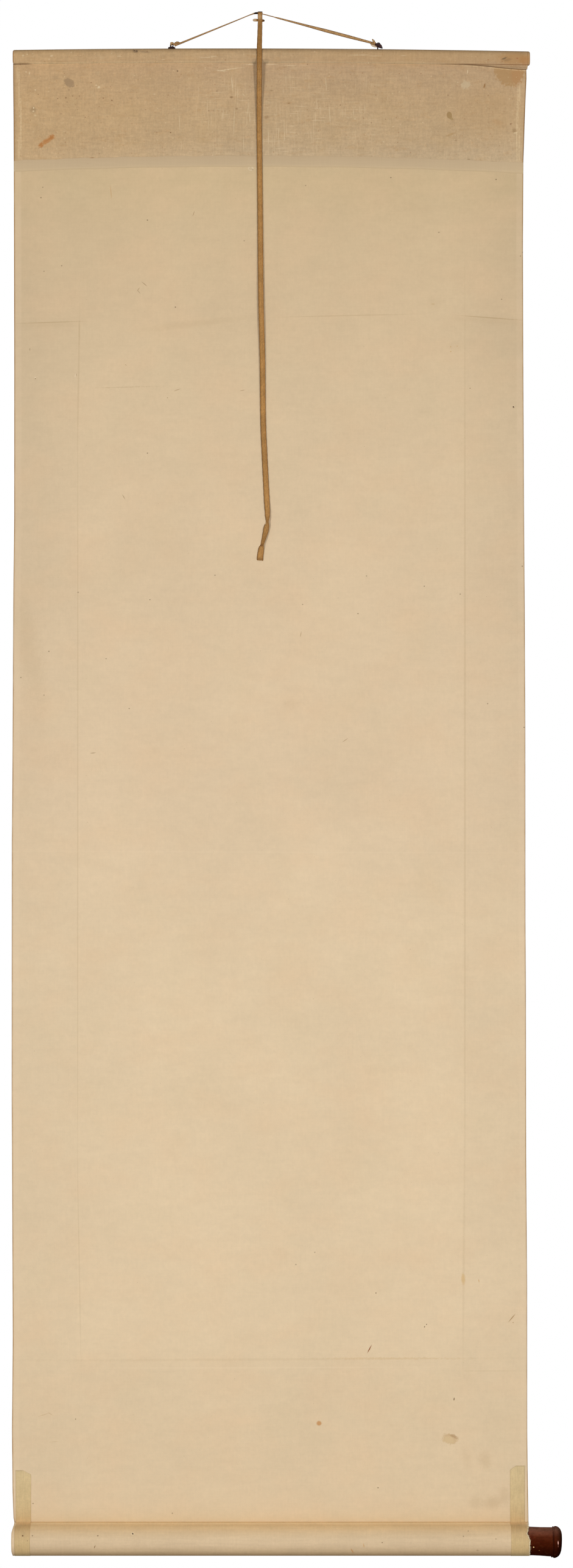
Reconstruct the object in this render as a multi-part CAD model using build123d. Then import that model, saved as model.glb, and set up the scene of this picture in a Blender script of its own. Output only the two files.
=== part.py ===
"""A hanging scroll, seen from its back: a laminated sheet with a half-round stave in its top
edge, a round roller in its bottom edge, a cord on two eyelets and a tie ribbon.
Millimetres. The origin is where the cord rests on whatever the scroll hangs from.
+X is to the right when the back is looked at, +Y is towards the picture side, +Z is up."""

import math
import os

from build123d import *

os.makedirs("parts", exist_ok=True)

# Sheet
sheet_width = 598.0
sheet_centre = 13.0  # the sheet's middle lies this far to the right of the hanging point
blank_margin = 60.0  # how far a piece reaches past the sheet's sides before it is trimmed to them
backing_thickness = 0.35
front_thickness = 0.25

# How far each side edge stands inside its straight line, by share of the way down to the roller
left_edge_insets = [(0.0, 0.0), (0.227, 0.8), (0.582, -1.8), (0.862, -1.0)]
right_edge_insets = [(0.0, 0.0), (0.146, 4.2), (0.501, 1.8), (0.862, -0.6)]
left_pinch = 0.8
right_flare = 1.4

# Picture panel and its borders, on the front
panel_top = 312.0  # below the stave's top
panel_height = 1216.0
bottom_border_height = 188.9  # from the panel's foot to the crease over the roller
left_border_width = 75.4
right_border_width = 71.6

# Protective silk on the back of the top, with its lining paper
silk_thickness = 0.25
silk_end_fold = 1.0  # the silk folded over each end of the stave
silk_corner = 0.6
lining_thickness = 0.15
silk_left_depth = 131.8
silk_middle_depth = 124.7
silk_right_depth = 133.9
lining_show = 9.0
flat_trim = 2.0  # how far the curve of the silk's lower edge is drawn past the sheet's sides

# Half-round stave in the top edge
stave_drop = 39.6  # from the hanging point to the top of the silk on it
stave_height = 16.0
stave_depth = 8.5
stave_round = 6.0
stave_left_overhang = -0.55
stave_right_overhang = 2.75
bow_radius = 17500.0
bow_apex = -35.0
bow_runs = 5  # straight lengths that the bow is made of
stave_front = 4.0  # the stave's flat front face, against the backing

# Roller in the bottom edge
rod_diameter = 34.3
rod_inset = 0.9
rod_chamfer = 0.4
pocket_thickness = 0.5
pocket_lean = 6.0  # how far past the top of the rod the pocket paper leaves it, in degrees
socket_diameter = 12.9
socket_depth = 22.0

# Torn right edge of the sheet at the roller: depth below the crease, and reach to the right
torn_edge = [(1.5, 0.6), (8.5, -1.6), (15.5, 1.9), (37.5, 1.6)]
left_bulge = 0.6

# Turned knob in the roller's right end
spigot_diameter = 12.0
spigot_length = 20.0
knob_diameter = 33.0
knob_length = 29.2
knob_seat_gap = 0.05
flange_diameter = 36.6
flange_width = 1.6
groove_width = 0.5
groove_depth = 0.5
cap_diameter = 37.4
cap_length = 9.2
cap_turn_angle = 45.0  # where the dome's shoulder meets its crown, from 90 degrees at the rim to 0 at the tip
cap_tip_angle = 5.0  # where the crown gives way to a small flat

# Silk patches that strengthen the sheet at the roller's ends
patch_thickness = 0.25
patch_width = 18.0
patch_rise = 61.0  # above the crease
patch_inset = 2.7
patch_corner_width = 10.0
patch_corner_height = 5.0
patch_end_angle = 262.0

# Eyelets
left_eyelet_x = -101.4
right_eyelet_x = 138.5
eye_wire = 1.1
wire_sides = 8  # hammered flats round the wire
eye_diameter = 4.2
eye_height = 3.3  # its centre above the silk
right_eye_lift = 1.75
shank_diameter = 1.8
shank_length = 11.0
shank_clearance = 0.05
seat_diameter = 8.7
seat_thickness = 0.7
seat_dome = 1.0
seat_hole = 3.3
seat_gap = 0.05
right_seat_tilt = 14.0

# Hanging cord, a flat braid, with the corner that it makes over the hanging point
cord_diameter = 3.8
cord_corner = (-2.8, 0.0, 2.16)
cord_left_end = (-98.0, 0.0, -36.49)
cord_right_end = (131.9, 0.0, -33.27)
hook_bend = 5.0

# Cord knots
loop_hole = 1.7
loop_diameter = 4.2
loop_width = 1.2
hitch_radius = 1.6
link_radius = 0.7

# Tie ribbon
ribbon_width = 6.3
ribbon_thickness = 0.8
ribbon_loop_inside = 2.1
ribbon_loop_wall = 0.6
ribbon_loop_top = 1.65
ribbon_loop_foot = -5.5
ear_diameter = 1.8
ear_span = 12.2
ribbon_route = [
    (1.6, -2.1, -8.0),
    (1.2, -3.9, -24.0),
    (0.7, -6.3, -41.0),
    (0.7, -6.4, -58.0),
    (0.5, -2.6, -86.0),
    (0.35, 1.4, -118.0),
    (0.9, 2.2, -165.0),
    (1.4, 2.3, -212.0),
    (2.0, 1.6, -275.0),
    (2.5, -0.2, -340.0),
    (4.2, 1.1, -390.0),
    (4.6, 2.0, -437.0),
    (5.1, 1.7, -480.0),
    (7.2, 0.7, -523.0),
    (9.3, -0.8, -563.0),
    (8.9, -2.2, -588.0),
    (7.3, -1.4, -603.0),
    (4.2, 0.2, -615.0),
    (2.5, 0.9, -626.0),
    (2.1, 0.9, -636.0),
]

# Places worked out from the sizes
sheet_left = sheet_centre - sheet_width / 2
sheet_right = sheet_centre + sheet_width / 2
stave_top = -(stave_drop + silk_thickness)
stave_foot = stave_top - stave_height
stave_middle = stave_top - stave_height / 2
front_of_backing = stave_front + backing_thickness
front_of_sheet = front_of_backing + front_thickness
rod_radius = rod_diameter / 2
axis_y = stave_front - rod_radius
lean = math.radians(90 + pocket_lean)
pocket_radius = rod_radius + pocket_thickness
blank_reach = sheet_width / 2 + blank_margin
panel_top_z = stave_top - panel_top
panel_foot_z = panel_top_z - panel_height
panel_left = sheet_left + left_border_width
panel_right = sheet_right - right_border_width
crease_z = panel_foot_z - bottom_border_height


def bowed(x, z):
    """The height of the bowed stave's line at x, where it is z high at the bow's apex."""
    return z - bow_radius + math.sqrt(bow_radius**2 - (x - bow_apex) ** 2)


def over_axis(reach, clear):
    """How far over the roller's axis the paper that bridges from rod to sheet is, clear from the
    rod's surface, at y reach."""
    return (rod_radius + clear - math.cos(lean) * (reach - axis_y)) / math.sin(lean)


axis_z = crease_z - over_axis(stave_front, pocket_thickness)


def bridge_height(reach, clear):
    """The height of that paper."""
    return axis_z + over_axis(reach, clear)


def around(radius, degrees):
    """A point on a circle about the roller's axis, as (y, z). 0 degrees is towards the picture side."""
    turn = math.radians(degrees)
    return (axis_y + radius * math.cos(turn), axis_z + radius * math.sin(turn))


def roller_arc(radius, first, last):
    """An arc about the roller's axis in the (y, z) plane."""
    middle = (first + last) / 2
    return ThreePointArc(around(radius, first), around(radius, middle), around(radius, last))


def along_x(lines, first, last):
    """A solid with the (y, z) outline lines, from x first to x last."""
    face = make_face(Plane.YZ.offset(first) * (Curve() + lines))
    return extrude(face, amount=last - first, dir=(1, 0, 0))


def slab(back, front, left, right, top, bottom):
    """A box between two y values, two x values and two heights."""
    size = Vector(right - left, front - back, top - bottom)
    middle = Vector((right + left) / 2, (front + back) / 2, (top + bottom) / 2)
    return Pos(middle) * Box(size.X, size.Y, size.Z)


def through_y(lines):
    """A solid with the (x, z) outline lines, right through the scroll from front to back."""
    outline = Plane.XZ * (Curve() + lines)
    return extrude(make_face(outline), amount=100, both=True)


def blunt_rod(first, last, radius):
    """A short rod with chamfered ends, which reach past both points."""
    past_ends, chamfer_size = radius * 0.85, radius * 0.45
    start, end = Vector(first), Vector(last)
    run = end - start
    plane = Plane(start - run.normalized() * past_ends, z_dir=run)
    rod = extrude(plane * Circle(radius), amount=run.length + 2 * past_ends)
    return chamfer(rod.edges().filter_by(GeomType.CIRCLE), chamfer_size)


def side_edge(side, inward, insets):
    """The points of a side edge, from the stave's top down towards the roller."""
    top = bowed(side, stave_top)
    return [(side + inward * inset, top - share * (top - crease_z)) for share, inset in insets]


def sheet_outline():
    """The sheet's true outline: wandering side edges, the stave's bow along its top, and the
    pinched left and torn right ends at the roller."""
    top, foot = stave_top, axis_z - pocket_radius - 5
    left = side_edge(sheet_left, 1, left_edge_insets) + [(sheet_left + left_pinch, crease_z)]
    right = side_edge(sheet_right, -1, right_edge_insets) + [(sheet_right + right_flare, crease_z)]
    torn = [right[-1]] + [(sheet_right + reach, crease_z - depth) for depth, reach in torn_edge]
    torn.append((torn[-1][0], foot))
    bulge = (sheet_left - left_bulge, axis_z)
    lines = [
        ThreePointArc(left[0], (bow_apex, top), right[0]),
        Spline(*right),
        Polyline(*torn),
        Line(torn[-1], (sheet_left, foot)),
        Line((sheet_left, foot), (sheet_left, axis_z - rod_radius)),
        ThreePointArc((sheet_left, axis_z - rod_radius), bulge, left[-1]),
        Spline(*reversed(left)),
    ]
    return through_y(lines)


def laminate(back, front, top):
    """A layer of the sheet from a height down, round the roller's front and to its underside."""
    outside, inside = rod_radius + front - stave_front, rod_radius + back - stave_front
    lines = [
        Polyline((back, axis_z), (back, top), (front, top), (front, axis_z)),
        roller_arc(outside, 0, -90),
        Line(around(outside, -90), around(inside, -90)),
        roller_arc(inside, -90, 0),
    ]
    return along_x(lines, sheet_centre - blank_reach, sheet_centre + blank_reach)


def above_curve(left, middle, right):
    """Everything over a curved lower edge, given as heights at the left, middle and right."""
    reach = sheet_width / 2 + flat_trim
    ends = [(sheet_centre - reach, left), (sheet_centre + reach, right)]
    lines = [
        ThreePointArc(ends[0], (sheet_centre, middle), ends[1]),
        Polyline(ends[1], (ends[1][0], 0), (ends[0][0], 0), ends[0]),
    ]
    return through_y(lines)


outline = sheet_outline()
wide_left, wide_right = sheet_centre - blank_reach, sheet_centre + blank_reach

# Backing paper: one sheet from the stave's top to the roller's underside
backing_sheet = laminate(stave_front, front_of_backing, 0) & outline


def front_piece(left, right, top, bottom):
    """One pasted piece of the front."""
    return slab(front_of_backing, front_of_sheet, left, right, top, bottom) & outline


top_border = front_piece(wide_left, wide_right, 0, panel_top_z)
left_border = front_piece(wide_left, panel_left, panel_top_z, panel_foot_z)
right_border = front_piece(panel_right, wide_right, panel_top_z, panel_foot_z)
picture_panel = front_piece(panel_left, panel_right, panel_top_z, panel_foot_z)
bottom_border = laminate(front_of_backing, front_of_sheet, panel_foot_z) & outline


def stave_section(clear):
    """The stave's half-round section, grown by clear at its top, back and foot."""
    depth, height = stave_depth + clear, stave_height + 2 * clear
    blank = Pos(-depth / 2, 0) * Rectangle(depth, height)
    back_corners = blank.vertices().sort_by(Axis.X)[:2]
    section = fillet(back_corners, stave_round + clear)
    return Plane((bow_apex, stave_front, stave_middle), x_dir=(0, 1, 0), z_dir=(1, 0, 0)) * section


def corner_waste(corner, outward, upward, radius):
    """What rounding takes off a corner of an outline, given in (x, z)."""
    x, z = corner
    beyond = 0.5
    soft = radius * (1 - math.sqrt(0.5))
    along, down = (x - outward * radius, z), (x, z - upward * radius)
    lines = [
        ThreePointArc(along, (x - outward * soft, z - upward * soft), down),
        Polyline(down, (x + outward * beyond, down[1]), (x + outward * beyond, z + upward * beyond)),
        Polyline((x + outward * beyond, z + upward * beyond), (along[0], z + upward * beyond), along),
    ]
    return through_y(lines)


def bowed_bar(clear, past_ends):
    """The section lofted along the bow, past the sheet's edges by the overhangs."""
    first = sheet_left - stave_left_overhang - past_ends
    last = sheet_right + stave_right_overhang + past_ends
    between = [sheet_left + sheet_width * step / bow_runs for step in range(1, bow_runs)]
    section = stave_section(clear)
    sections = [Pos(x - bow_apex, 0, bowed(x, 0)) * section for x in [first] + between + [last]]
    return loft(sections, ruled=True)


def silk_wrap():
    """The silk on the stave as a whole bar with softened ends, before the wood's place is cut out."""
    bar = bowed_bar(silk_thickness, silk_end_fold)
    first = sheet_left - stave_left_overhang - silk_end_fold
    last = sheet_right + stave_right_overhang + silk_end_fold
    for x, outward in ((first, -1), (last, 1)):
        for level, upward in ((stave_top + silk_thickness, 1), (stave_foot - silk_thickness, -1)):
            bar -= corner_waste((x, bowed(x, level)), outward, upward, silk_corner)
    return bar


def shank_holes(radius):
    """Holes for both eyelets' shanks, down through the silk and into the stave."""
    holes = Part()
    for x in (left_eyelet_x, right_eyelet_x):
        middle = bowed(x, stave_top) + silk_thickness - shank_length / 2
        holes += Pos(x, 0, middle) * Cylinder(radius, shank_length)
    return holes


holes = shank_holes(shank_diameter / 2 + shank_clearance)
stave_wood = bowed_bar(0, 0)
top_stave = stave_wood - holes

# Protective silk: wrapped round the stave's back and ends, then pasted flat on the lining
silk_back = stave_front - lining_thickness - silk_thickness
silk_depths = (silk_left_depth, silk_middle_depth, silk_right_depth)
lining_depths = [depth + lining_show for depth in silk_depths]
flat_foot = stave_top - 2 * max(lining_depths)  # well below both, before they are cut to their curves
silk_flat = slab(silk_back, silk_back + silk_thickness, wide_left, wide_right, stave_middle, flat_foot)
silk_flat = silk_flat & outline & above_curve(*[stave_top - depth for depth in silk_depths])
protective_silk = (silk_wrap() + silk_flat) - stave_wood - holes
lining_flat = slab(silk_back + silk_thickness, stave_front, wide_left, wide_right, stave_middle, flat_foot)
lining_flat = lining_flat & outline & above_curve(*[stave_top - depth for depth in lining_depths])
silk_lining = lining_flat - stave_wood - protective_silk

# Pocket paper: from the crease, over the roller and down its back to the underside
pocket_lines = [
    Line((stave_front, crease_z), around(pocket_radius, 90 + pocket_lean)),
    roller_arc(pocket_radius, 90 + pocket_lean, 270),
    Line(around(pocket_radius, 270), around(rod_radius, 270)),
    roller_arc(rod_radius, 270, 90 + pocket_lean),
    Line(around(rod_radius, 90 + pocket_lean), (stave_front, bridge_height(stave_front, 0))),
    Line((stave_front, bridge_height(stave_front, 0)), (stave_front, crease_z)),
]
roller_pocket = along_x(pocket_lines, wide_left, wide_right) & outline


def patch(left, right, inner):
    """A silk patch on the sheet's back that runs over the crease and round the roller. Its top
    corner at x inner is cut off."""
    face_y = stave_front - patch_thickness
    clear = pocket_thickness + patch_thickness
    leave, top, radius = 90 + pocket_lean, crease_z + patch_rise, rod_radius + clear
    lines = [
        Polyline((stave_front, crease_z), (stave_front, top), (face_y, top)),
        Line((face_y, top), (face_y, bridge_height(face_y, clear))),
        Line((face_y, bridge_height(face_y, clear)), around(radius, leave)),
        roller_arc(radius, leave, patch_end_angle),
        Line(around(radius, patch_end_angle), around(pocket_radius, patch_end_angle)),
        roller_arc(pocket_radius, patch_end_angle, leave),
        Line(around(pocket_radius, leave), (stave_front, crease_z)),
    ]
    middle = (left + right) / 2
    across = math.copysign(patch_corner_width, middle - inner)
    corner = [(inner, top), (inner + across, top), (inner, top - patch_corner_height), (inner, top)]
    return along_x(lines, left, right) - through_y([Polyline(*corner)])


patch_left = sheet_left + patch_inset
left_patch = patch(patch_left, patch_left + patch_width, patch_left + patch_width)
patch_right = sheet_right + right_flare - patch_inset
right_patch = patch(patch_right - patch_width, patch_right, patch_right - patch_width)

# Roller rod, with a socket in each end for a knob's spigot
rod_left, rod_right = sheet_left + rod_inset, sheet_right - rod_inset
roller_plane = Plane((rod_left, axis_y, axis_z), x_dir=(0, 1, 0), z_dir=(1, 0, 0))
rod_length = rod_right - rod_left
roller_rod = extrude(roller_plane * Circle(rod_radius), amount=rod_length)
roller_rod = chamfer(roller_rod.edges().filter_by(GeomType.CIRCLE), rod_chamfer)
for mouth in (0, rod_length - socket_depth):
    roller_rod -= extrude(roller_plane.offset(mouth) * Circle(socket_diameter / 2), amount=socket_depth)


def on_dome(start, rim_radius, angle):
    """A point of the cap's domed end in the knob's own plane, as (along, out)."""
    turn = math.radians(angle)
    return (start + cap_length * math.cos(turn), rim_radius * math.sin(turn))


def turned_knob():
    """The knob, turned about X from its shoulder at x 0: spigot, body, flange, groove and cap."""
    body, flange, cap = knob_diameter / 2, flange_diameter / 2, cap_diameter / 2
    after_flange = knob_length + flange_width
    cap_start = after_flange + groove_width
    soft = flange_width / 2
    rim, mid, tip = (on_dome(cap_start, cap - soft, angle) for angle in (90, cap_turn_angle, cap_tip_angle))
    shoulder_middle = on_dome(cap_start, cap - soft, (90 + cap_turn_angle) / 2)
    crown_middle = on_dome(cap_start, cap - soft, (cap_turn_angle + cap_tip_angle) / 2)
    lines = [
        Polyline((-spigot_length, 0), (-spigot_length, spigot_diameter / 2), (0, spigot_diameter / 2)),
        Polyline((0, spigot_diameter / 2), (0, body), (knob_length, body), (knob_length, flange - soft)),
        ThreePointArc(
            (knob_length, flange - soft),
            (knob_length + soft, flange),
            (after_flange, flange - soft),
        ),
        Polyline((after_flange, flange - soft), (after_flange, cap - groove_depth - soft)),
        Line((after_flange, cap - groove_depth - soft), (cap_start, cap - groove_depth - soft)),
        Line((cap_start, cap - groove_depth - soft), (cap_start, cap - soft)),
        ThreePointArc(rim, shoulder_middle, mid),
        ThreePointArc(mid, crown_middle, tip),
        Line(tip, (tip[0], 0)),
        Line((tip[0], 0), (-spigot_length, 0)),
    ]
    return revolve(make_face(Plane.XZ * (Curve() + lines)), Axis.X)


# The loose knob sags: its spigot lies on the socket's mouth and its tip bears on the socket's top
knob_play = (socket_diameter - spigot_diameter) / 2 - knob_seat_gap
knob_droop = math.degrees(math.asin(2 * knob_play / spigot_length))
shoulder = rod_right + knob_diameter / 2 * math.sin(math.radians(knob_droop)) + knob_seat_gap
right_knob = Pos(shoulder, axis_y, axis_z - knob_play) * Rot(0, knob_droop, 0) * turned_knob()


def eyelet(x, lift):
    """A wire eye on a shank, standing on the stave at x."""
    foot = bowed(x, stave_top) + silk_thickness
    centre = foot + eye_height + lift
    wire = eye_wire / 2
    ring_radius = eye_diameter / 2 - wire
    section = make_face(Plane.XZ * Pos(ring_radius, 0) * RegularPolygon(wire, wire_sides).wire())
    ring = Pos(x, 0, centre) * Rot(90, 0, 0) * revolve(section, Axis.Z)
    shank_top = centre - ring_radius
    shank_foot = foot - shank_length + lift
    shank_middle = (shank_top + shank_foot) / 2
    return ring + Pos(x, 0, shank_middle) * Cylinder(shank_diameter / 2, shank_top - shank_foot)


def eyelet_seat(x, tilt):
    """A coned washer under an eye, tipped up about its right edge by tilt."""
    rim, hole = seat_diameter / 2, seat_hole / 2
    upper = [(hole, seat_dome + seat_thickness), (rim, seat_thickness)]
    lines = [Polyline((hole, seat_dome), *upper, (rim, 0), (hole, seat_dome))]
    washer = revolve(make_face(Plane.XZ * (Curve() + lines)), Axis.Z)
    foot = bowed(x, stave_top) + silk_thickness + seat_gap
    return Pos(x + rim, 0, foot) * Rot(0, tilt, 0) * Pos(-rim, 0, 0) * washer


left_eyelet = eyelet(left_eyelet_x, 0)
right_eyelet = eyelet(right_eyelet_x, right_eye_lift)
left_eyelet_seat = eyelet_seat(left_eyelet_x, 0)
right_eyelet_seat = eyelet_seat(right_eyelet_x, right_seat_tilt)


def route_radii(points):
    """The largest radius that each corner of a route leaves room for."""
    radii = []
    for before, corner, after in zip(points, points[1:], points[2:]):
        arriving, leaving = Vector(corner) - Vector(before), Vector(after) - Vector(corner)
        half_turn = math.radians(arriving.get_angle(leaving) / 2)
        radii.append(0.45 * min(arriving.length, leaving.length) / math.tan(half_turn))
    return radii


# Hanging cord: taut from eyelet to eyelet, bent over the hanging point
cord_points = [cord_left_end, cord_corner, cord_right_end]
cord_path = FilletPolyline(*cord_points, radius=hook_bend)
cord_section = Plane(cord_path @ 0, z_dir=cord_path % 0) * Circle(cord_diameter / 2)
hanging_cord = sweep(cord_section, path=cord_path)
cord_volume = math.pi * cord_diameter**2 / 4 * cord_path.length
print("cord length", round(cord_path.length, 1), "bend", hook_bend, "volume ratio", hanging_cord.volume / cord_volume)


def eye_top(x, lift):
    """The middle of the wire at the top of an eye."""
    ring_radius = (eye_diameter - eye_wire) / 2
    return (x, 0, bowed(x, stave_top) + silk_thickness + eye_height + lift + ring_radius)


def cord_loop(x, lift):
    """The cord's turn through an eye, round the wire at its top."""
    turn = Cylinder(loop_diameter / 2, loop_width) - Cylinder(loop_hole / 2, loop_width)
    return Pos(eye_top(x, lift)) * Rot(0, 90, 0) * turn


def beside(point, across, up):
    """A point beside another, in the plane of the cord."""
    return (point[0] + across, point[1], point[2] + up)


# Knots: a turn through each eye, and the hitched end lying on the cord beside it
left_top = eye_top(left_eyelet_x, 0)
left_link = blunt_rod(beside(left_top, 0.6, 1.45), beside(left_top, 3.2, 1.3), link_radius)
left_hitch = blunt_rod(beside(left_top, 3.4, 0.9), beside(left_top, 7.2, 2.3), hitch_radius)
left_cord_knot = cord_loop(left_eyelet_x, 0) + left_link + left_hitch - hanging_cord
right_top = eye_top(right_eyelet_x, right_eye_lift)
right_link = blunt_rod(beside(right_top, -0.6, 1.45), beside(right_top, -3.2, 1.0), link_radius)
right_hitch = blunt_rod(beside(right_top, -3.6, 0.2), beside(right_top, -6.2, -0.4), hitch_radius)
right_tail = blunt_rod(beside(right_top, -3.9, 0.8), beside(right_top, -5.6, 3.8), hitch_radius * 0.8)
right_cord_knot = cord_loop(right_eyelet_x, right_eye_lift) + right_link + right_hitch + right_tail
right_cord_knot = right_cord_knot - hanging_cord

# Tie ribbon: a loop over the cord at the hanging point, with a cross turn, and the free end
inside, outside = ribbon_loop_inside, ribbon_loop_inside + ribbon_loop_wall


def stadium(radius):
    """A slot shape in the (y, z) plane round the cord and down to the cross turn."""
    top, foot = ribbon_loop_top, ribbon_loop_foot
    return [
        ThreePointArc((-radius, top), (0, top + radius), (radius, top)),
        Line((radius, top), (radius, foot)),
        ThreePointArc((radius, foot), (0, foot - radius), (-radius, foot)),
        Line((-radius, foot), (-radius, top)),
    ]


loop_left = ribbon_route[0][0] - ribbon_width / 2
loop_right = loop_left + ribbon_width
ribbon_loop = along_x(stadium(outside), loop_left, loop_right)
ribbon_loop -= along_x(stadium(inside), loop_left, loop_right)
ear_z = ribbon_loop_foot - inside + ear_diameter / 2 - 0.1
ear_reach = ear_span / 2 - ear_diameter / 2
ribbon_loop += blunt_rod((-ear_reach, 0, ear_z), (ear_reach, 0, ear_z), ear_diameter / 2)
ribbon_loop -= hanging_cord

ribbon_radii = route_radii(ribbon_route)
print("ribbon radii", [round(radius) for radius in ribbon_radii])
ribbon_path = FilletPolyline(*ribbon_route, radius=ribbon_radii)
ribbon_start = Plane(ribbon_path @ 0, x_dir=(1, 0, 0), z_dir=ribbon_path % 0)
tie_ribbon = sweep(ribbon_start * Rectangle(ribbon_width, ribbon_thickness), path=ribbon_path)
ribbon_volume = ribbon_width * ribbon_thickness * ribbon_path.length
print("ribbon length", round(ribbon_path.length, 1), "volume ratio", tie_ribbon.volume / ribbon_volume)
tie_ribbon -= ribbon_loop

pieces = {
    "backing_sheet": backing_sheet,
    "top_border": top_border,
    "left_border": left_border,
    "right_border": right_border,
    "picture_panel": picture_panel,
    "bottom_border": bottom_border,
    "protective_silk": protective_silk,
    "silk_lining": silk_lining,
    "roller_pocket": roller_pocket,
    "left_patch": left_patch,
    "right_patch": right_patch,
    "top_stave": top_stave,
    "roller_rod": roller_rod,
    "right_knob": right_knob,
    "left_eyelet": left_eyelet,
    "right_eyelet": right_eyelet,
    "left_eyelet_seat": left_eyelet_seat,
    "right_eyelet_seat": right_eyelet_seat,
    "hanging_cord": hanging_cord,
    "left_cord_knot": left_cord_knot,
    "right_cord_knot": right_cord_knot,
    "tie_ribbon_loop": ribbon_loop,
    "tie_ribbon": tie_ribbon,
}
for name, piece in pieces.items():
    export_step(piece, f"parts/{name}.step")
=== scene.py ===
import math

import bmesh
import bpy
import numpy as np
from mathutils import Matrix, Vector


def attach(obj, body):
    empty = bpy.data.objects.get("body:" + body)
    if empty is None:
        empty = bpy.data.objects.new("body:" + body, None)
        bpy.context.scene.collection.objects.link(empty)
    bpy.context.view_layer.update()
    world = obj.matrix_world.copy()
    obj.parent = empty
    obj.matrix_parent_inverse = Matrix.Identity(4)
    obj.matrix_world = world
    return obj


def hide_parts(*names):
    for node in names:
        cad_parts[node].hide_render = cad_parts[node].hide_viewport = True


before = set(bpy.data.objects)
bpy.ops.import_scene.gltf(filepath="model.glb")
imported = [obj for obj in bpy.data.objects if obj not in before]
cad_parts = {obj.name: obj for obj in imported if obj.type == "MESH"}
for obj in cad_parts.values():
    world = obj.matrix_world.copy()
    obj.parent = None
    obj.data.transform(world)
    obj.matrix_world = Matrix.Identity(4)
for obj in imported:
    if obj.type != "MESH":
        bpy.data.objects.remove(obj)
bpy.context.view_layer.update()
scene = bpy.context.scene

mm = 0.001  # sizes are written in millimetres
pixel = 0.709  # one pixel of the picture, in millimetres on the scroll

# The scroll's own places, as its solids have them
sheet = {
    "back": 4.0, "front": 4.6, "stock": 0.35, "frontStock": 0.25,
    "top": -39.85, "tuck": 1.15, "crease": -1756.75,
}
panel = {"left": -210.6, "right": 240.4, "top": -351.85, "foot": -1567.85}
roller = {"y": -13.15, "z": -1776.3, "radius": 17.15}
stave = {"top": -39.85, "height": 16.0, "depth": 8.5, "bow": 17500.0, "apex": -35.0}
hangingPoint = {"column": 425.0, "row": 23.3}


# Where a column and row of the picture lie on the scroll, across and up
def seen(column, row):
    return (column - hangingPoint["column"]) * pixel, (hangingPoint["row"] - row) * pixel


# Camera: level and straight in front of the back
cameraData = bpy.data.cameras.new("camera")
cameraData.sensor_fit = "AUTO"
cameraData.sensor_width = 36
cameraData.lens = 135
cameraData.clip_start = 0.5
cameraData.clip_end = 40
camera = bpy.data.objects.new("camera", cameraData)
camera.location = (0.0323, -6.85, -0.8967)
camera.rotation_euler = (math.radians(90), 0, 0)
scene.collection.objects.link(camera)
scene.camera = camera
scene.view_settings.view_transform = "Standard"
print("camera set")


# Shader nodes: a number or colour is set on its socket, another node's output is linked to it
def feed(tree, socket, value):
    if isinstance(value, (int, float, tuple)):
        socket.default_value = value
    else:
        tree.links.new(value, socket)


def addNode(tree, kind, feeds, **settings):
    node = tree.nodes.new("ShaderNode" + kind)
    for key, value in settings.items():
        setattr(node, key, value)
    for label, value in feeds.items():
        feed(tree, node.inputs[label], value)
    return node


def addMath(tree, operation, first, second=None):
    feeds = {0: first} if second is None else {0: first, 1: second}
    return addNode(tree, "Math", feeds, operation=operation).outputs[0]


def addVector(tree, operation, first, second):
    return addNode(tree, "VectorMath", {0: first, 1: second}, operation=operation).outputs["Vector"]


def addRange(tree, value, low, high, start=0.0, end=1.0, kind="LINEAR"):
    feeds = {"Value": value, "From Min": low, "From Max": high, "To Min": start, "To Max": end}
    return addNode(tree, "MapRange", feeds, interpolation_type=kind).outputs["Result"]


# Noise of so many waves a metre along x, y and z
def addNoise(tree, vector, x, y, z, detail, rough):
    scales = addNode(tree, "CombineXYZ", {"X": x, "Y": y, "Z": z}).outputs["Vector"]
    scaled = addVector(tree, "MULTIPLY", vector, scales)
    feeds = {"Vector": scaled, "Scale": 1.0, "Detail": detail, "Roughness": rough}
    return addNode(tree, "TexNoise", feeds).outputs["Fac"]


# Studio: an even fill, and white wherever the camera or a reflection looks past the scroll
studio = {
    "fill": 0.24,
    "white": (1.0, 1.0, 1.0, 1.0),
    "aim": (0.02, 0),
    "lamps": [
        ("lamp_left", (-1.95, -4.3, -0.80), (0.55, 1.9), 91),
        ("lamp_right", (1.95, -4.3, -0.80), (0.55, 1.9), 91),
        ("lamp_front_left", (-2.3, 4.0, -0.80), (0.8, 1.9), 80),
        ("lamp_front_right", (2.3, 4.0, -0.80), (0.8, 1.9), 80),
    ],
}
world = bpy.data.worlds.new("studio")
scene.world = world
world.use_nodes = True
worldTree = world.node_tree
worldTree.nodes.clear()
rays = addNode(worldTree, "LightPath", {}).outputs
seenWhite = addMath(worldTree, "MAXIMUM", rays["Is Camera Ray"], rays["Is Glossy Ray"])
seenWhite = addMath(worldTree, "MAXIMUM", seenWhite, rays["Is Transmission Ray"])
fill = addNode(worldTree, "Background", {"Color": studio["white"], "Strength": studio["fill"]})
white = addNode(worldTree, "Background", {"Color": studio["white"], "Strength": 1.0})
either = addNode(worldTree, "MixShader", {"Fac": seenWhite, 1: fill.outputs[0], 2: white.outputs[0]})
addNode(worldTree, "OutputWorld", {"Surface": either.outputs[0]})
for name, place, size, power in studio["lamps"]:
    data = bpy.data.lights.new(name, "AREA")
    data.shape = "RECTANGLE"
    data.size, data.size_y = size
    data.energy = power
    lamp = bpy.data.objects.new(name, data)
    lamp.location = place
    lamp.rotation_mode = "QUATERNION"
    lamp.rotation_quaternion = (Vector((*studio["aim"], place[2])) - Vector(place)).to_track_quat("-Z", "Y")
    scene.collection.objects.link(lamp)
print("studio lit")


# Shared helpers
def smooth(start, end, value):
    share = np.clip((value - start) / (end - start), 0.0, 1.0)
    return share * share * (3 - 2 * share)


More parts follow.
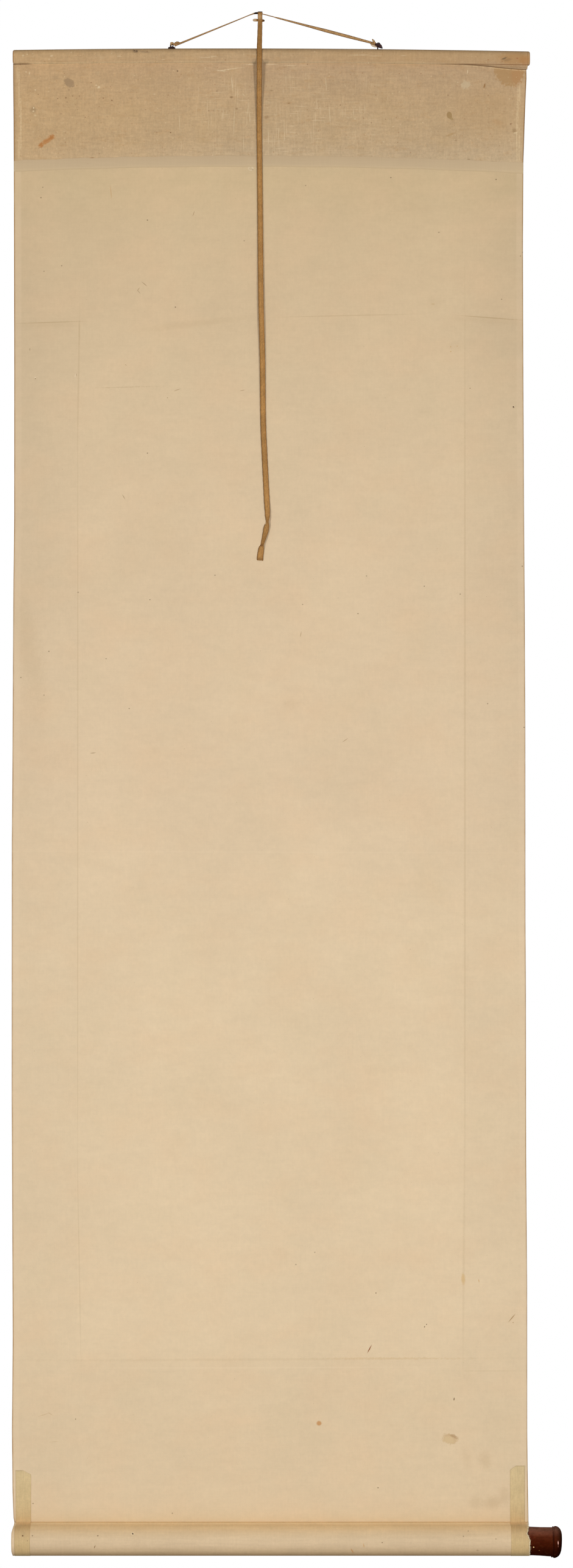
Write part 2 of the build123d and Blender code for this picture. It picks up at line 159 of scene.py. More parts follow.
def linear(red, green, blue):
    parts = []
    for value in (red, green, blue):
        share = value / 255
        parts.append(share / 12.92 if share <= 0.04045 else ((share + 0.055) / 1.055) ** 2.4)
    return (*parts, 1.0)


def newPiece(name, data, material):
    data.materials.append(material)
    data.polygons.foreach_set("use_smooth", [True] * len(data.polygons))
    piece = bpy.data.objects.new(name, data)
    scene.collection.objects.link(piece)
    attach(piece, "root")
    return piece


def pieceFromPoints(name, points, faces, material, uvs):
    data = bpy.data.meshes.new(name)
    data.from_pydata([(x * mm, y * mm, z * mm) for x, y, z in points], [], faces)
    layer = data.uv_layers.new(name="cloth")
    corners = np.zeros(len(data.loops), np.int32)
    data.loops.foreach_get("vertex_index", corners)
    layer.data.foreach_set("uv", np.asarray(uvs, np.float32)[corners].ravel())
    return newPiece(name, data, material)


# A spin adds its faces in another order each run, so they are sorted by their corners
def pieceFromMesh(name, mesh, material):
    mesh.verts.index_update()
    ordered = sorted(mesh.faces, key=lambda face: sorted(vert.index for vert in face.verts))
    for index, face in enumerate(ordered):
        face.index = index
    mesh.faces.sort()
    data = bpy.data.meshes.new(name)
    mesh.to_mesh(data)
    mesh.free()
    return newPiece(name, data, material)


# Measures that materials read, one value a point
def addMeasures(piece, measures):
    for key, values in measures.items():
        layer = piece.data.attributes.new(key, "FLOAT", "POINT")
        layer.data.foreach_set("value", values.astype(np.float32))


def turnOutward(piece):
    mesh = bmesh.new()
    mesh.from_mesh(piece.data)
    bmesh.ops.remove_doubles(mesh, verts=mesh.verts, dist=1e-7)
    bmesh.ops.recalc_face_normals(mesh, faces=mesh.faces)
    mesh.to_mesh(piece.data)
    mesh.free()


def gridFaces(rows, columns, start=0, closed=False):
    faces = []
    for row in range(rows - 1):
        for column in range(columns if closed else columns - 1):
            right = (column + 1) % columns
            upper, lower = start + row * columns, start + (row + 1) * columns
            faces.append((upper + column, upper + right, lower + right, lower + column))
    return faces


# A closed tube of rings: its sides and both ends
def tubeFaces(rows, columns, start=0):
    last = start + (rows - 1) * columns
    faces = gridFaces(rows, columns, start, closed=True)
    faces.append(tuple(start + step for step in range(columns)))
    faces.append(tuple(last + step for step in reversed(range(columns))))
    return faces


# Shader groups that several finishes share: an input without a value is a vector
def newGroup(name, inputs, outputs):
    group = bpy.data.node_groups.new(name, "ShaderNodeTree")
    for label, value in inputs.items():
        kind = "NodeSocketVector" if value is None else "NodeSocketFloat"
        socket = group.interface.new_socket(label, in_out="INPUT", socket_type=kind)
        if value is not None:
            socket.default_value = value
    for label in outputs:
        group.interface.new_socket(label, in_out="OUTPUT", socket_type="NodeSocketFloat")
    return group, group.nodes.new("NodeGroupInput").outputs, group.nodes.new("NodeGroupOutput").inputs


# Threads or laid fibres: streaks across and up, in streaks per metre along and across them
threadInputs = {"Vector": None, "Along": 30.0, "Across": 800.0}
threadGroup, inward, outward = newGroup("threads", threadInputs, ["Level", "Upright", "Both"])
level = addNoise(threadGroup, inward["Vector"], inward["Along"], 40.0, inward["Across"], 2.0, 0.6)
upright = addNoise(threadGroup, inward["Vector"], inward["Across"], 40.0, inward["Along"], 2.0, 0.6)
level = addRange(threadGroup, level, 0.33, 0.67)
upright = addRange(threadGroup, upright, 0.33, 0.67)
both = addMath(threadGroup, "MULTIPLY", addMath(threadGroup, "ADD", level, upright), 0.5)
feed(threadGroup, outward["Level"], level)
feed(threadGroup, outward["Upright"], upright)
feed(threadGroup, outward["Both"], both)

# Mark: an oval on the scroll's back, turned against the clock, with a soft or ragged rim
markInputs = {"Vector": None, "Centre": None, "Size": None, "Turn": 0.0, "Soft": 0.3}
markInputs.update({"Rim": 0.5, "Ragged": 0.3, "Strength": 1.0})
markGroup, inward, outward = newGroup("mark", markInputs, ["Mask"])
away = addVector(markGroup, "SUBTRACT", inward["Vector"], inward["Centre"])
turned = addNode(markGroup, "VectorRotate", {"Vector": away, "Angle": inward["Turn"]}, rotation_type="Y_AXIS")
fitted = addVector(markGroup, "DIVIDE", turned.outputs["Vector"], inward["Size"])
reach = addNode(markGroup, "VectorMath", {0: fitted}, operation="LENGTH").outputs["Value"]
wobble = addMath(markGroup, "MULTIPLY", addMath(markGroup, "SUBTRACT", inward["Rim"], 0.5), inward["Ragged"])
edge = addMath(markGroup, "ADD", reach, addMath(markGroup, "MULTIPLY", wobble, 2.0))
inner = addMath(markGroup, "SUBTRACT", 1.0, inward["Soft"])
outer = addMath(markGroup, "ADD", 1.0, inward["Soft"])
mask = addRange(markGroup, edge, inner, outer, inward["Strength"], 0.0, "SMOOTHSTEP")
feed(markGroup, outward["Mask"], mask)

# Specks: small dots, scattered at so many cells a metre, in a share of the cells
speckInputs = {"Vector": None, "Cells": 60.0, "Share": 0.1, "Size": 0.05}
speckGroup, inward, outward = newGroup("specks", speckInputs, ["Mask"])
apart = addNode(speckGroup, "SeparateXYZ", {"Vector": inward["Vector"]}).outputs
flat = addNode(speckGroup, "CombineXYZ", {"X": apart["X"], "Y": apart["Z"]}).outputs["Vector"]
cellFeeds = {"Vector": flat, "Scale": inward["Cells"]}
cells = addNode(speckGroup, "TexVoronoi", cellFeeds, voronoi_dimensions="2D").outputs
luck = addNode(speckGroup, "SeparateColor", {"Color": cells["Color"]}).outputs
chosen = addMath(speckGroup, "LESS_THAN", luck["Red"], inward["Share"])
ownSize = addMath(speckGroup, "MULTIPLY", inward["Size"], addMath(speckGroup, "ADD", luck["Green"], 0.4))
dot = addRange(speckGroup, cells["Distance"], 0.0, ownSize, 1.0, 0.0, "SMOOTHSTEP")
feed(speckGroup, outward["Mask"], addMath(speckGroup, "MULTIPLY", dot, chosen))
print("shader groups made")


# A finish is built up layer by layer from its base colour
class Finish:
    def __init__(self, name, roughness=0.85, specular=0.12, cloth=False):
        self.material = bpy.data.materials.new(name)
        self.material.use_nodes = True
        self.tree = self.material.node_tree
        self.surface = self.tree.nodes["Principled BSDF"].inputs
        self.surface["Roughness"].default_value = roughness
        self.surface["Specular IOR Level"].default_value = specular
        coordinates = self.node("TexCoord", {}).outputs
        self.place = coordinates["Object"]
        self.weave = self.place
        self.flat = coordinates["UV"]
        if cloth:  # the sheet's own coordinates, laid out as across and down
            parts = self.node("SeparateXYZ", {"Vector": self.flat}).outputs
            self.weave = self.node("CombineXYZ", {"X": parts["X"], "Z": parts["Y"]}).outputs["Vector"]
        self.colour = None
        self.rim = addNoise(self.tree, self.place, 420.0, 60.0, 420.0, 2.0, 0.6)  # makes rims ragged

    def node(self, kind, feeds, **settings):
        return addNode(self.tree, kind, feeds, **settings)

    def math(self, operation, first, second=None):
        return addMath(self.tree, operation, first, second)

    def times(self, first, second):
        return self.math("MULTIPLY", first, second)

    def most(self, first, second):
        return self.math("MAXIMUM", first, second)

    def spread(self, value, low, high, start=0.0, end=1.0, kind="LINEAR"):
        return addRange(self.tree, value, low, high, start, end, kind)

    def noise(self, x, y, z, detail=3.0, rough=0.55, low=0.35, high=0.65):
        return self.spread(addNoise(self.tree, self.place, x, y, z, detail, rough), low, high)

    def axis(self, name, source=None):
        return self.node("SeparateXYZ", {"Vector": source or self.place}).outputs[name]

    def measure(self, name):
        return self.node("Attribute", {}, attribute_name=name).outputs["Fac"]

    def ramp(self, value, stops):
        node = self.node("ValToRGB", {"Fac": value})
        elements = node.color_ramp.elements
        while len(elements) < len(stops):
            elements.new(0.5)
        for element, (place, shown) in zip(elements, stops):
            element.position = place
            element.color = linear(*shown)
        return node.outputs["Color"]

    def byHeight(self, *stops):
        low, high = stops[0][0], stops[-1][0]
        share = self.spread(self.axis("Z"), low * mm, high * mm)
        self.colour = self.ramp(share, [((z - low) / (high - low), shown) for z, shown in stops])

    def blend(self, mask, shown, kind="MIX"):
        feeds = {0: mask, 6: self.colour, 7: linear(*shown)}
        self.colour = self.node("Mix", feeds, data_type="RGBA", blend_type=kind).outputs[2]

    def gain(self, value, low, high):
        # value 0 to 1 makes the colour low to high times as light
        feeds = {0: self.colour, "Scale": self.spread(value, 0.0, 1.0, low, high)}
        self.colour = self.node("VectorMath", feeds, operation="SCALE").outputs["Vector"]

    def grain(self, x, y, z, detail, rough, low, high):
        self.gain(self.noise(x, y, z, detail, rough), low, high)

    def cloud(self, x, y, z, detail, rough, low, high, strength, shown):
        self.blend(self.times(self.noise(x, y, z, detail, rough, low, high), strength), shown)

    def threads(self, along, across, kind="Both"):
        feeds = {"Vector": self.weave, "Along": along, "Across": across}
        return self.node("Group", feeds, node_tree=threadGroup).outputs[kind]

    def woven(self, along, across, low, high):
        self.gain(self.threads(along, across), low, high)

    def specks(self, cells, share, size, shown, strength, offset=0.0):
        moved = addVector(self.tree, "ADD", self.place, (offset, 0, offset * 1.7))
        feeds = {"Vector": moved, "Cells": cells, "Share": share, "Size": size}
        mask = self.node("Group", feeds, node_tree=speckGroup).outputs["Mask"]
        self.blend(self.times(mask, strength), shown)

    def markMask(self, column, row, wide, high, turn, strength, soft, ragged):
        # place and half sizes in the picture's own pixels, turn in degrees against the clock
        x, z = seen(column, row)
        feeds = {
            "Vector": self.place,
            "Centre": (x * mm, 0, z * mm),
            "Size": (wide * pixel * mm, 10.0, high * pixel * mm),
            "Turn": math.radians(turn),
            "Soft": soft,
            "Rim": self.rim,
            "Ragged": ragged,
            "Strength": strength,
        }
        return self.node("Group", feeds, node_tree=markGroup).outputs["Mask"]

    def mark(self, column, row, wide, high, shown, strength, turn=0, soft=0.5, ragged=0.3):
        self.blend(self.markMask(column, row, wide, high, turn, strength, soft, ragged), shown)

    def marks(self, *places):
        # each place gives what mark takes, in the same order
        for place in places:
            self.mark(*place)

    def bump(self, height, distance, strength=1.0):
        feeds = {"Distance": distance * mm, "Strength": strength, "Height": height}
        feed(self.tree, self.surface["Normal"], self.node("Bump", feeds).outputs["Normal"])

    def done(self):
        feed(self.tree, self.surface["Base Color"], self.colour)
        return self.material


# Backing paper: pale, darker towards the top, the sides and the roller. Hems and seams show through
paper = Finish("backing_paper", cloth=True)
paper.byHeight(
    (-1764, (212, 186, 147)), (-1758, (212, 187, 149)), (-1748, (215, 192, 157)),
    (-1735, (216, 193, 159)), (-1650, (215, 192, 158)), (-1520, (219, 196, 162)),
    (-1100, (220, 197, 163)), (-900, (218, 194, 161)), (-600, (216, 192, 158)), (-430, (213, 189, 154)),
    (-330, (212, 187, 151)), (-250, (209, 184, 147)), (-195, (206, 181, 142)), (-40, (200, 175, 137)),
)
acrossAll = paper.axis("X")
aside = paper.most(paper.spread(acrossAll, -0.18, -0.27), paper.spread(acrossAll, 0.22, 0.30))
upper = paper.spread(paper.axis("Z"), -1.0, -0.45, 0.35, 1.0, "SMOOTHSTEP")
paper.gain(paper.times(aside, upper), 1.0, 0.93)
paper.grain(7, 7, 7, 4.0, 0.6, 0.975, 1.02)
paper.grain(28, 28, 90, 3.0, 0.6, 0.985, 1.013)
paper.cloud(13, 13, 19, 3.0, 0.6, 0.45, 0.7, 0.24, (222, 188, 150))
paper.cloud(17, 29, 13, 3.0, 0.6, 0.5, 0.72, 0.16, (208, 188, 152))
paper.grain(260, 60, 260, 3.0, 0.65, 0.985, 1.012)
paper.woven(35.0, 620.0, 0.986, 1.013)
paper.woven(160.0, 1500.0, 0.99, 1.009)
paper.grain(120, 40, 120, 3.0, 0.6, 0.988, 1.011)
# panel and borders read through from the front as faint steps
overPanel = paper.times(
    paper.spread(paper.axis("X"), -0.2125, -0.2112), paper.spread(paper.axis("X"), 0.2405, 0.2392)
)
belowTop = paper.spread(paper.axis("Z"), -0.352, -0.354)
aboveFoot = paper.spread(paper.axis("Z"), -1.569, -1.566)
overPanel = paper.times(overPanel, paper.times(belowTop, aboveFoot))
paper.gain(overPanel, 1.0, 1.014)
paper.gain(paper.times(belowTop, paper.spread(paper.axis("Z"), -0.44, -0.353, 0.0, 1.0)), 1.0, 0.985)
# hems along both sides, lighter and a little pinker, with a thin worn line at the very edge
fromLeft, fromRight = paper.measure("fromLeft"), paper.measure("fromRight")
hemNoise = paper.noise(6, 6, 22, 2.0, 0.5, 0.3, 0.7)
leftHem = paper.spread(fromLeft, 9.2, 7.6)
rightHem = paper.spread(fromRight, 8.6, 7.2)
hem = paper.most(leftHem, rightHem)
paper.blend(paper.times(hem, paper.spread(hemNoise, 0.0, 1.0, 0.05, 0.22)), (230, 204, 172))
edgeWear = paper.noise(300, 60, 45, 3.0, 0.6, 0.3, 0.7)
leftWorn = paper.times(paper.spread(fromLeft, 1.9, 0.5), paper.spread(edgeWear, 0.0, 1.0, 0.35, 0.9))
rightWorn = paper.times(paper.spread(fromRight, 1.7, 0.4), paper.spread(edgeWear, 0.0, 1.0, 0.35, 0.9))
paper.blend(leftWorn, (164, 124, 80))
paper.blend(rightWorn, (162, 126, 84))
# seams
seamTone = (176, 150, 112)
paper.marks(
    (84, 529, 49, 0.75, seamTone, 0.5, 1.8, 0.6, 0.3),
    (84, 532.5, 48, 4.5, seamTone, 0.12, 1.8, 0.9, 0.3),
    (312, 532, 74, 5.0, seamTone, 0.14, 6.5, 0.9, 0.4),
    (206, 635.5, 38, 0.8, seamTone, 0.32, 1.5, 0.7, 1.3),
    (48.7, 573.6, 0.5, 2.2, (140, 112, 80), 0.7),
    (58, 621.6, 0.9, 0.9, (140, 112, 80), 0.7),
    (57.6, 619.6, 1.2, 0.8, (234, 214, 182), 0.6),
    (123.4, 616.7, 0.8, 2.6, (234, 214, 182), 0.6, -10, 0.5, 0.3),
    (125, 615.5, 0.5, 2.2, (150, 120, 86), 0.6, -10, 0.5, 0.3),
    (275, 653, 0.8, 0.8, (150, 120, 86), 0.6),
    (206.5, 599, 1.4, 0.6, (160, 130, 94), 0.5, -40, 0.5, 0.3),
    (568, 518, 92, 0.9, seamTone, 0.30, 1.3, 0.7, 0.3),
    (806, 521.5, 46, 0.8, seamTone, 0.6, -4.4, 0.5, 0.3),
    (806, 526, 46, 5, seamTone, 0.12, -4.4, 0.9, 0.3),
    (130, 545, 1.2, 16, seamTone, 0.3, 0, 0.8, 0.3),
    (128.8, 620, 1.3, 90, seamTone, 0.24, -0.9, 0.8, 0.3),
    (127.5, 1300, 0.9, 620, seamTone, 0.24, 0, 0.3, 0.1),
    (130, 2080, 0.9, 160, seamTone, 0.18, 1.0, 0.5, 0.1),
    (763.6, 1230, 1.7, 700, seamTone, 0.2),
    (761.6, 2080, 1.7, 150, seamTone, 0.15, -0.3, 0.6, 0.3),
    (440, 2234, 330, 2.0, seamTone, 0.13, 0.3, 0.7, 0.8),
    (640, 2232.6, 90, 1.6, (204, 172, 126), 0.3, 0, 0.7, 1.6),
    (440, 2247.5, 260, 1.2, (230, 208, 176), 0.22, 0.2, 0.6, 0.6),
    (808, 2253, 48, 0.8, seamTone, 0.16, 0, 0.6, 0.4),
    (440, 1400, 400, 1.4, (230, 208, 176), 0.16, -0.2, 0.5, 0.2),
)
# soft clouds of handling dirt
dirt = (186, 160, 124)
for column, row, wide, high, strength in (
    (47, 1070, 18, 80, 0.22), (810, 2470, 13, 9, 0.38), (782, 2469, 10, 9, 0.24), (797, 2400, 9, 13, 0.3),
    (830, 2458, 8, 12, 0.28), (767, 2398, 6, 14, 0.16), (478, 1157, 12, 8, 0.12), (712, 498, 14, 9, 0.12),
    (748, 568, 12, 8, 0.12), (350, 1750, 60, 90, 0.05), (620, 1250, 90, 60, 0.05),
    (240, 900, 60, 50, 0.05),
):
    paper.mark(column, row, wide, high, dirt, strength, 10, 0.8, 0.6)
# spots
paper.marks(
    (524, 2339, 4.0, 3.8, (190, 138, 84), 0.85, 0, 0.35, 0.2),
    (607, 2217, 6.5, 0.8, (134, 70, 30), 0.9, 62, 0.5, 0.2),
    (761, 2102, 3.0, 8.5, (206, 170, 116), 0.65, 4, 0.5, 0.3),
    (72, 2325, 9, 0.6, (182, 152, 112), 0.4, 18, 0.7, 0.8),
    (83, 2324, 4, 0.6, (182, 152, 112), 0.45, -35, 0.7, 0.8),
    (124, 2332.3, 0.6, 1.3, (120, 92, 62), 0.8, 0, 0.4, 0.2),
    (89, 2369.5, 6, 0.6, (190, 160, 120), 0.4, 4, 0.7, 0.8),
    (739, 2364.6, 12.3, 8.3, (190, 158, 116), 0.7, -6, 0.25, 0.55),
    (737.5, 2366.4, 9.6, 5.8, (210, 184, 142), 0.7, -6, 0.4, 0.6),
    (745.5, 2360.5, 6.0, 2.4, (166, 134, 96), 0.55, -28, 0.5, 0.8),
    (841, 2166, 7.5, 0.7, (150, 112, 62), 0.75, 50, 0.5, 0.2),
    (746, 2299.4, 0.8, 2.4, (104, 78, 50), 0.95, -8, 0.4, 0.2),
    (617.6, 2125, 0.9, 0.9, (100, 76, 50), 0.9, 0, 0.4, 0.2),
    (697.6, 2180.6, 0.7, 1.3, (92, 66, 42), 0.9, -20, 0.4, 0.2),
    (700.8, 2176.6, 0.7, 1.1, (92, 66, 42), 0.8, -30, 0.4, 0.2),
    (786.8, 2105, 0.6, 2.4, (196, 148, 88), 0.75, 12, 0.5, 0.2),
    (843, 2173.5, 0.8, 0.8, (150, 112, 62), 0.75, 0, 0.4, 0.2),
    (843.5, 668, 1.1, 1.1, (56, 32, 18), 0.95, 0, 0.4, 0.2),
    (772.3, 637.4, 0.8, 0.8, (118, 90, 60), 0.75, 0, 0.4, 0.2),
    (740.4, 569, 0.8, 1.3, (194, 152, 92), 0.6, 0, 0.5, 0.4),
    (751, 568, 0.9, 0.7, (194, 152, 92), 0.6, 0, 0.5, 0.4),
    (740.6, 577, 1.2, 0.9, (194, 152, 92), 0.6, 0, 0.5, 0.4),
    (711, 499, 3.0, 1.2, (190, 158, 112), 0.4, 0, 0.6, 0.6),
    (412, 276, 4.4, 4.0, (222, 202, 170), 0.6, 0, 0.15, 0.3),
    (411.6, 276.3, 2.9, 2.6, (200, 176, 138), 0.8, 0, 0.3, 0.3),
    (415, 278, 1.4, 0.8, (150, 128, 98), 0.6, 30, 0.4, 0.2),
)
speckTone = (120, 98, 74)
for column, row, strength in (
    (67, 324, 0.9), (70, 307, 0.6), (859, 414, 0.8), (855, 420, 0.6), (844, 669, 0.8), (242, 361, 0.9),
    (242, 744, 0.8), (502, 304, 0.6), (642, 291, 0.9), (815, 294, 0.95), (721, 381, 0.7), (824, 491, 0.7),
    (101, 436, 0.7), (72, 445, 0.6), (288, 504, 0.9), (401, 395, 0.6), (80, 1070, 0.8), (353, 945, 0.7),
    (246, 985, 0.7), (128, 973, 0.7), (497, 993, 0.6), (588, 1008, 0.8), (602, 946, 0.6), (697, 963, 0.7),
    (756, 976, 0.7), (858, 930, 0.8), (861, 1195, 0.8), (801, 1156, 0.7), (174, 1082, 0.6),
    (212, 1164, 0.7), (72, 1142, 0.6), (34, 1113, 0.7), (486, 2078, 0.7), (517, 2058, 0.6),
    (54, 2471, 0.8), (621, 2445, 0.9), (283, 2487, 0.7),
):
    paper.mark(column, row, 1.1, 1.0, speckTone, strength * 0.85, 0, 0.5, 0.0)
# loose fibres
for column, row, long, turn, shown, strength in (
    (237, 466, 5, -40, (150, 120, 86), 0.6), (227, 475, 3.5, 60, (164, 134, 98), 0.6),
    (291, 640, 5, 20, (168, 136, 100), 0.6), (318, 350, 4, 70, (160, 130, 94), 0.6),
    (182, 315, 10, 96, (196, 146, 92), 0.5), (398, 641, 4, 10, (166, 136, 100), 0.6),
    (203, 816, 4, -60, (160, 130, 96), 0.6), (567, 1216, 5, 35, (166, 136, 100), 0.6),
    (494, 1042, 4, 80, (166, 136, 100), 0.6), (153, 1237, 4, 5, (150, 124, 92), 0.7),
    (228, 479, 3, -50, (150, 120, 90), 0.5),
):
    paper.mark(column, row, long, 0.65, shown, strength, turn, 0.5, 0.3)
paper.specks(34.0, 0.22, 0.016, (146, 118, 84), 0.55)
paper.specks(60.0, 0.16, 0.020, (236, 216, 186), 0.45, 0.31)
paper.specks(110.0, 0.12, 0.045, (182, 150, 110), 0.35, 0.77)
paper.bump(paper.threads(60.0, 900.0), 0.04, 0.35)
backingLook = paper.done()

# Pocket paper: the same sheet, browner over the crease; its colour by height paints the roller's shade,
# darkest underneath, and a pale painted highlight along the crease
pocket = Finish("pocket_paper", cloth=True)
pocket.byHeight(
    (-1796.3, (112, 90, 66)), (-1794.6, (156, 128, 95)), (-1792, (168, 141, 105)),
    (-1787, (196, 170, 134)), (-1780, (207, 182, 148)), (-1773, (211, 186, 151)),
    (-1768, (211, 185, 148)), (-1764, (216, 187, 146)), (-1761.6, (222, 190, 145)),
    (-1759.6, (229, 198, 151)), (-1758.4, (240, 208, 160)), (-1757, (255, 226, 180)),
)
pocket.grain(9, 9, 9, 4.0, 0.6, 0.975, 1.02)
pocket.grain(40, 12, 40, 3.0, 0.6, 0.975, 1.018)
pocket.grain(24, 60, 330, 3.0, 0.65, 0.97, 1.026)
pocket.grain(330, 60, 330, 3.0, 0.65, 0.975, 1.02)
pocket.woven(30.0, 500.0, 0.975, 1.02)
pocket.woven(160.0, 1500.0, 0.985, 1.012)
pocketHem = pocket.spread(pocket.measure("fromLeft"), 5.4, 4.2)
pocket.blend(pocket.times(pocketHem, 0.3), (228, 200, 164))
tornRim = pocket.spread(pocket.measure("fromRight"), 2.4, 0.9)
pocket.blend(pocket.times(tornRim, 0.75), (226, 208, 170))
for column, row, wide, high, strength in (
    (39, 2518, 1.2, 1.1, 0.9), (55, 2518, 1.0, 0.9, 0.7), (162, 2518, 1.1, 0.9, 0.8),
    (760, 2519, 1.1, 1.0, 0.45), (768, 2511, 1.0, 1.0, 0.4), (813, 2523, 1.1, 1.0, 0.45),
    (783, 2542, 2.0, 1.0, 0.35), (627, 2529, 0.9, 0.9, 0.8),
):
    pocket.mark(column, row, wide, high, (110, 86, 60), strength, 0, 0.5, 0.2)
pocket.marks(
    (219, 2515, 2.6, 2.2, (230, 206, 168), 0.7, 0, 0.5, 0.2),
    (219, 2515, 1.4, 1.1, (58, 40, 28), 0.95, -30, 0.4, 0.2),
    (157, 2536, 0.7, 2.6, (130, 96, 60), 0.85, -20, 0.4, 0.2),
    (597, 2534, 0.8, 3.2, (196, 150, 96), 0.7, 12, 0.4, 0.3),
    (578, 2543, 1.0, 4.5, (186, 134, 80), 0.75, 28, 0.4, 0.4),
)
pocket.specks(60.0, 0.2, 0.02, (150, 122, 88), 0.5, 0.2)
pocketLook = pocket.done()

# Silk of the stave cover: brown, finely woven, rubbed, stained and scratched
silk = Finish("protective_silk", roughness=0.8, specular=0.18, cloth=True)
# colour by height: darker along the stave's rounded top edge as painted shade
silk.byHeight(
    (-178, (193, 168, 134)), (-171, (191, 166, 131)), (-160, (190, 164, 129)), (-146, (189, 161, 124)),
    (-120, (188, 159, 121)), (-100, (187, 157, 119)), (-70, (185, 155, 119)), (-58, (184, 154, 119)),
    (-52, (184, 153, 115)), (-47, (185, 154, 115)), (-43.5, (180, 149, 110)), (-40, (172, 141, 102)),
)
# warmer on the left, greyer on the right
silk.blend(silk.spread(silk.axis("X"), 0.0, -0.26, 0.0, 0.42), (197, 160, 112))
silk.grain(11, 11, 16, 4.0, 0.6, 0.972, 1.03)
silk.grain(60, 20, 80, 4.0, 0.62, 0.978, 1.022)
silk.grain(430, 80, 380, 3.0, 0.7, 0.94, 1.06)
silk.grain(48, 80, 300, 4.0, 0.75, 0.957, 1.043)
silk.grain(300, 80, 60, 4.0, 0.75, 0.964, 1.036)
silk.grain(520, 60, 70, 3.0, 0.65, 0.98, 1.02)
silk.grain(70, 60, 560, 3.0, 0.65, 0.972, 1.028)
silk.cloud(60, 60, 170, 4.0, 0.75, 0.55, 0.72, 0.34, (178, 136, 86))
silk.cloud(90, 90, 130, 4.0, 0.75, 0.57, 0.74, 0.28, (208, 182, 142))
silk.woven(26.0, 520.0, 0.976, 1.023)
silk.woven(120.0, 1250.0, 0.976, 1.023)
silk.cloud(24, 24, 24, 3.0, 0.6, 0.52, 0.75, 0.2, (188, 154, 104))
# rubbed threads, thickest round the middle
rubbed = silk.most(
    silk.spread(silk.threads(34.0, 800.0, "Level"), 0.7, 0.98),
    silk.spread(silk.threads(30.0, 760.0, "Upright"), 0.7, 0.96),
)
middleRub = silk.markMask(470, 185, 150, 74, 0, 0.5, 0.6, 0.5)
middleRub = silk.times(middleRub, silk.noise(26, 26, 34, 2.0, 0.6, 0.42, 0.62))
silk.blend(silk.times(rubbed, middleRub), (222, 199, 162))
silk.blend(silk.times(rubbed, silk.markMask(700, 93, 130, 9, 0, 0.2, 0.6, 0.5)), (214, 186, 140))
silk.blend(silk.times(rubbed, 0.05), (212, 188, 150))
# worn lines inside both edges
for column, row, high, strength in (
    (31, 150, 36, 0.35), (34, 205, 44, 0.4), (31, 245, 22, 0.35), (851, 175, 34, 0.4),
    (854, 152, 20, 0.45), (849, 220, 44, 0.45), (853, 238, 24, 0.35), (28, 120, 14, 0.25),
):
    silk.mark(column, row, 1.1, high, (224, 198, 156), strength * 1.05, 0, 0.6, 1.6)
# folded edge along both sides
silkLeft, silkRight = silk.measure("fromLeft"), silk.measure("fromRight")
silkEdge = silk.most(silk.spread(silkLeft, 1.8, 0.4), silk.spread(silkRight, 1.6, 0.3))
hemBand = silk.most(silk.spread(silkLeft, 9.0, 7.0), silk.spread(silkRight, 8.6, 7.0))
hemPatches = silk.noise(60, 60, 60, 3.0, 0.6)
silk.blend(silk.times(hemBand, silk.spread(hemPatches, 0.0, 1.0, 0.0, 0.2)), (210, 176, 130))
silk.blend(silk.times(silkEdge, 0.72), (172, 122, 70))
outline = silk.most(silk.spread(silkLeft, 0.9, 0.2), silk.spread(silkRight, 0.8, 0.2))
silk.blend(silk.times(outline, 0.6), (118, 84, 50))
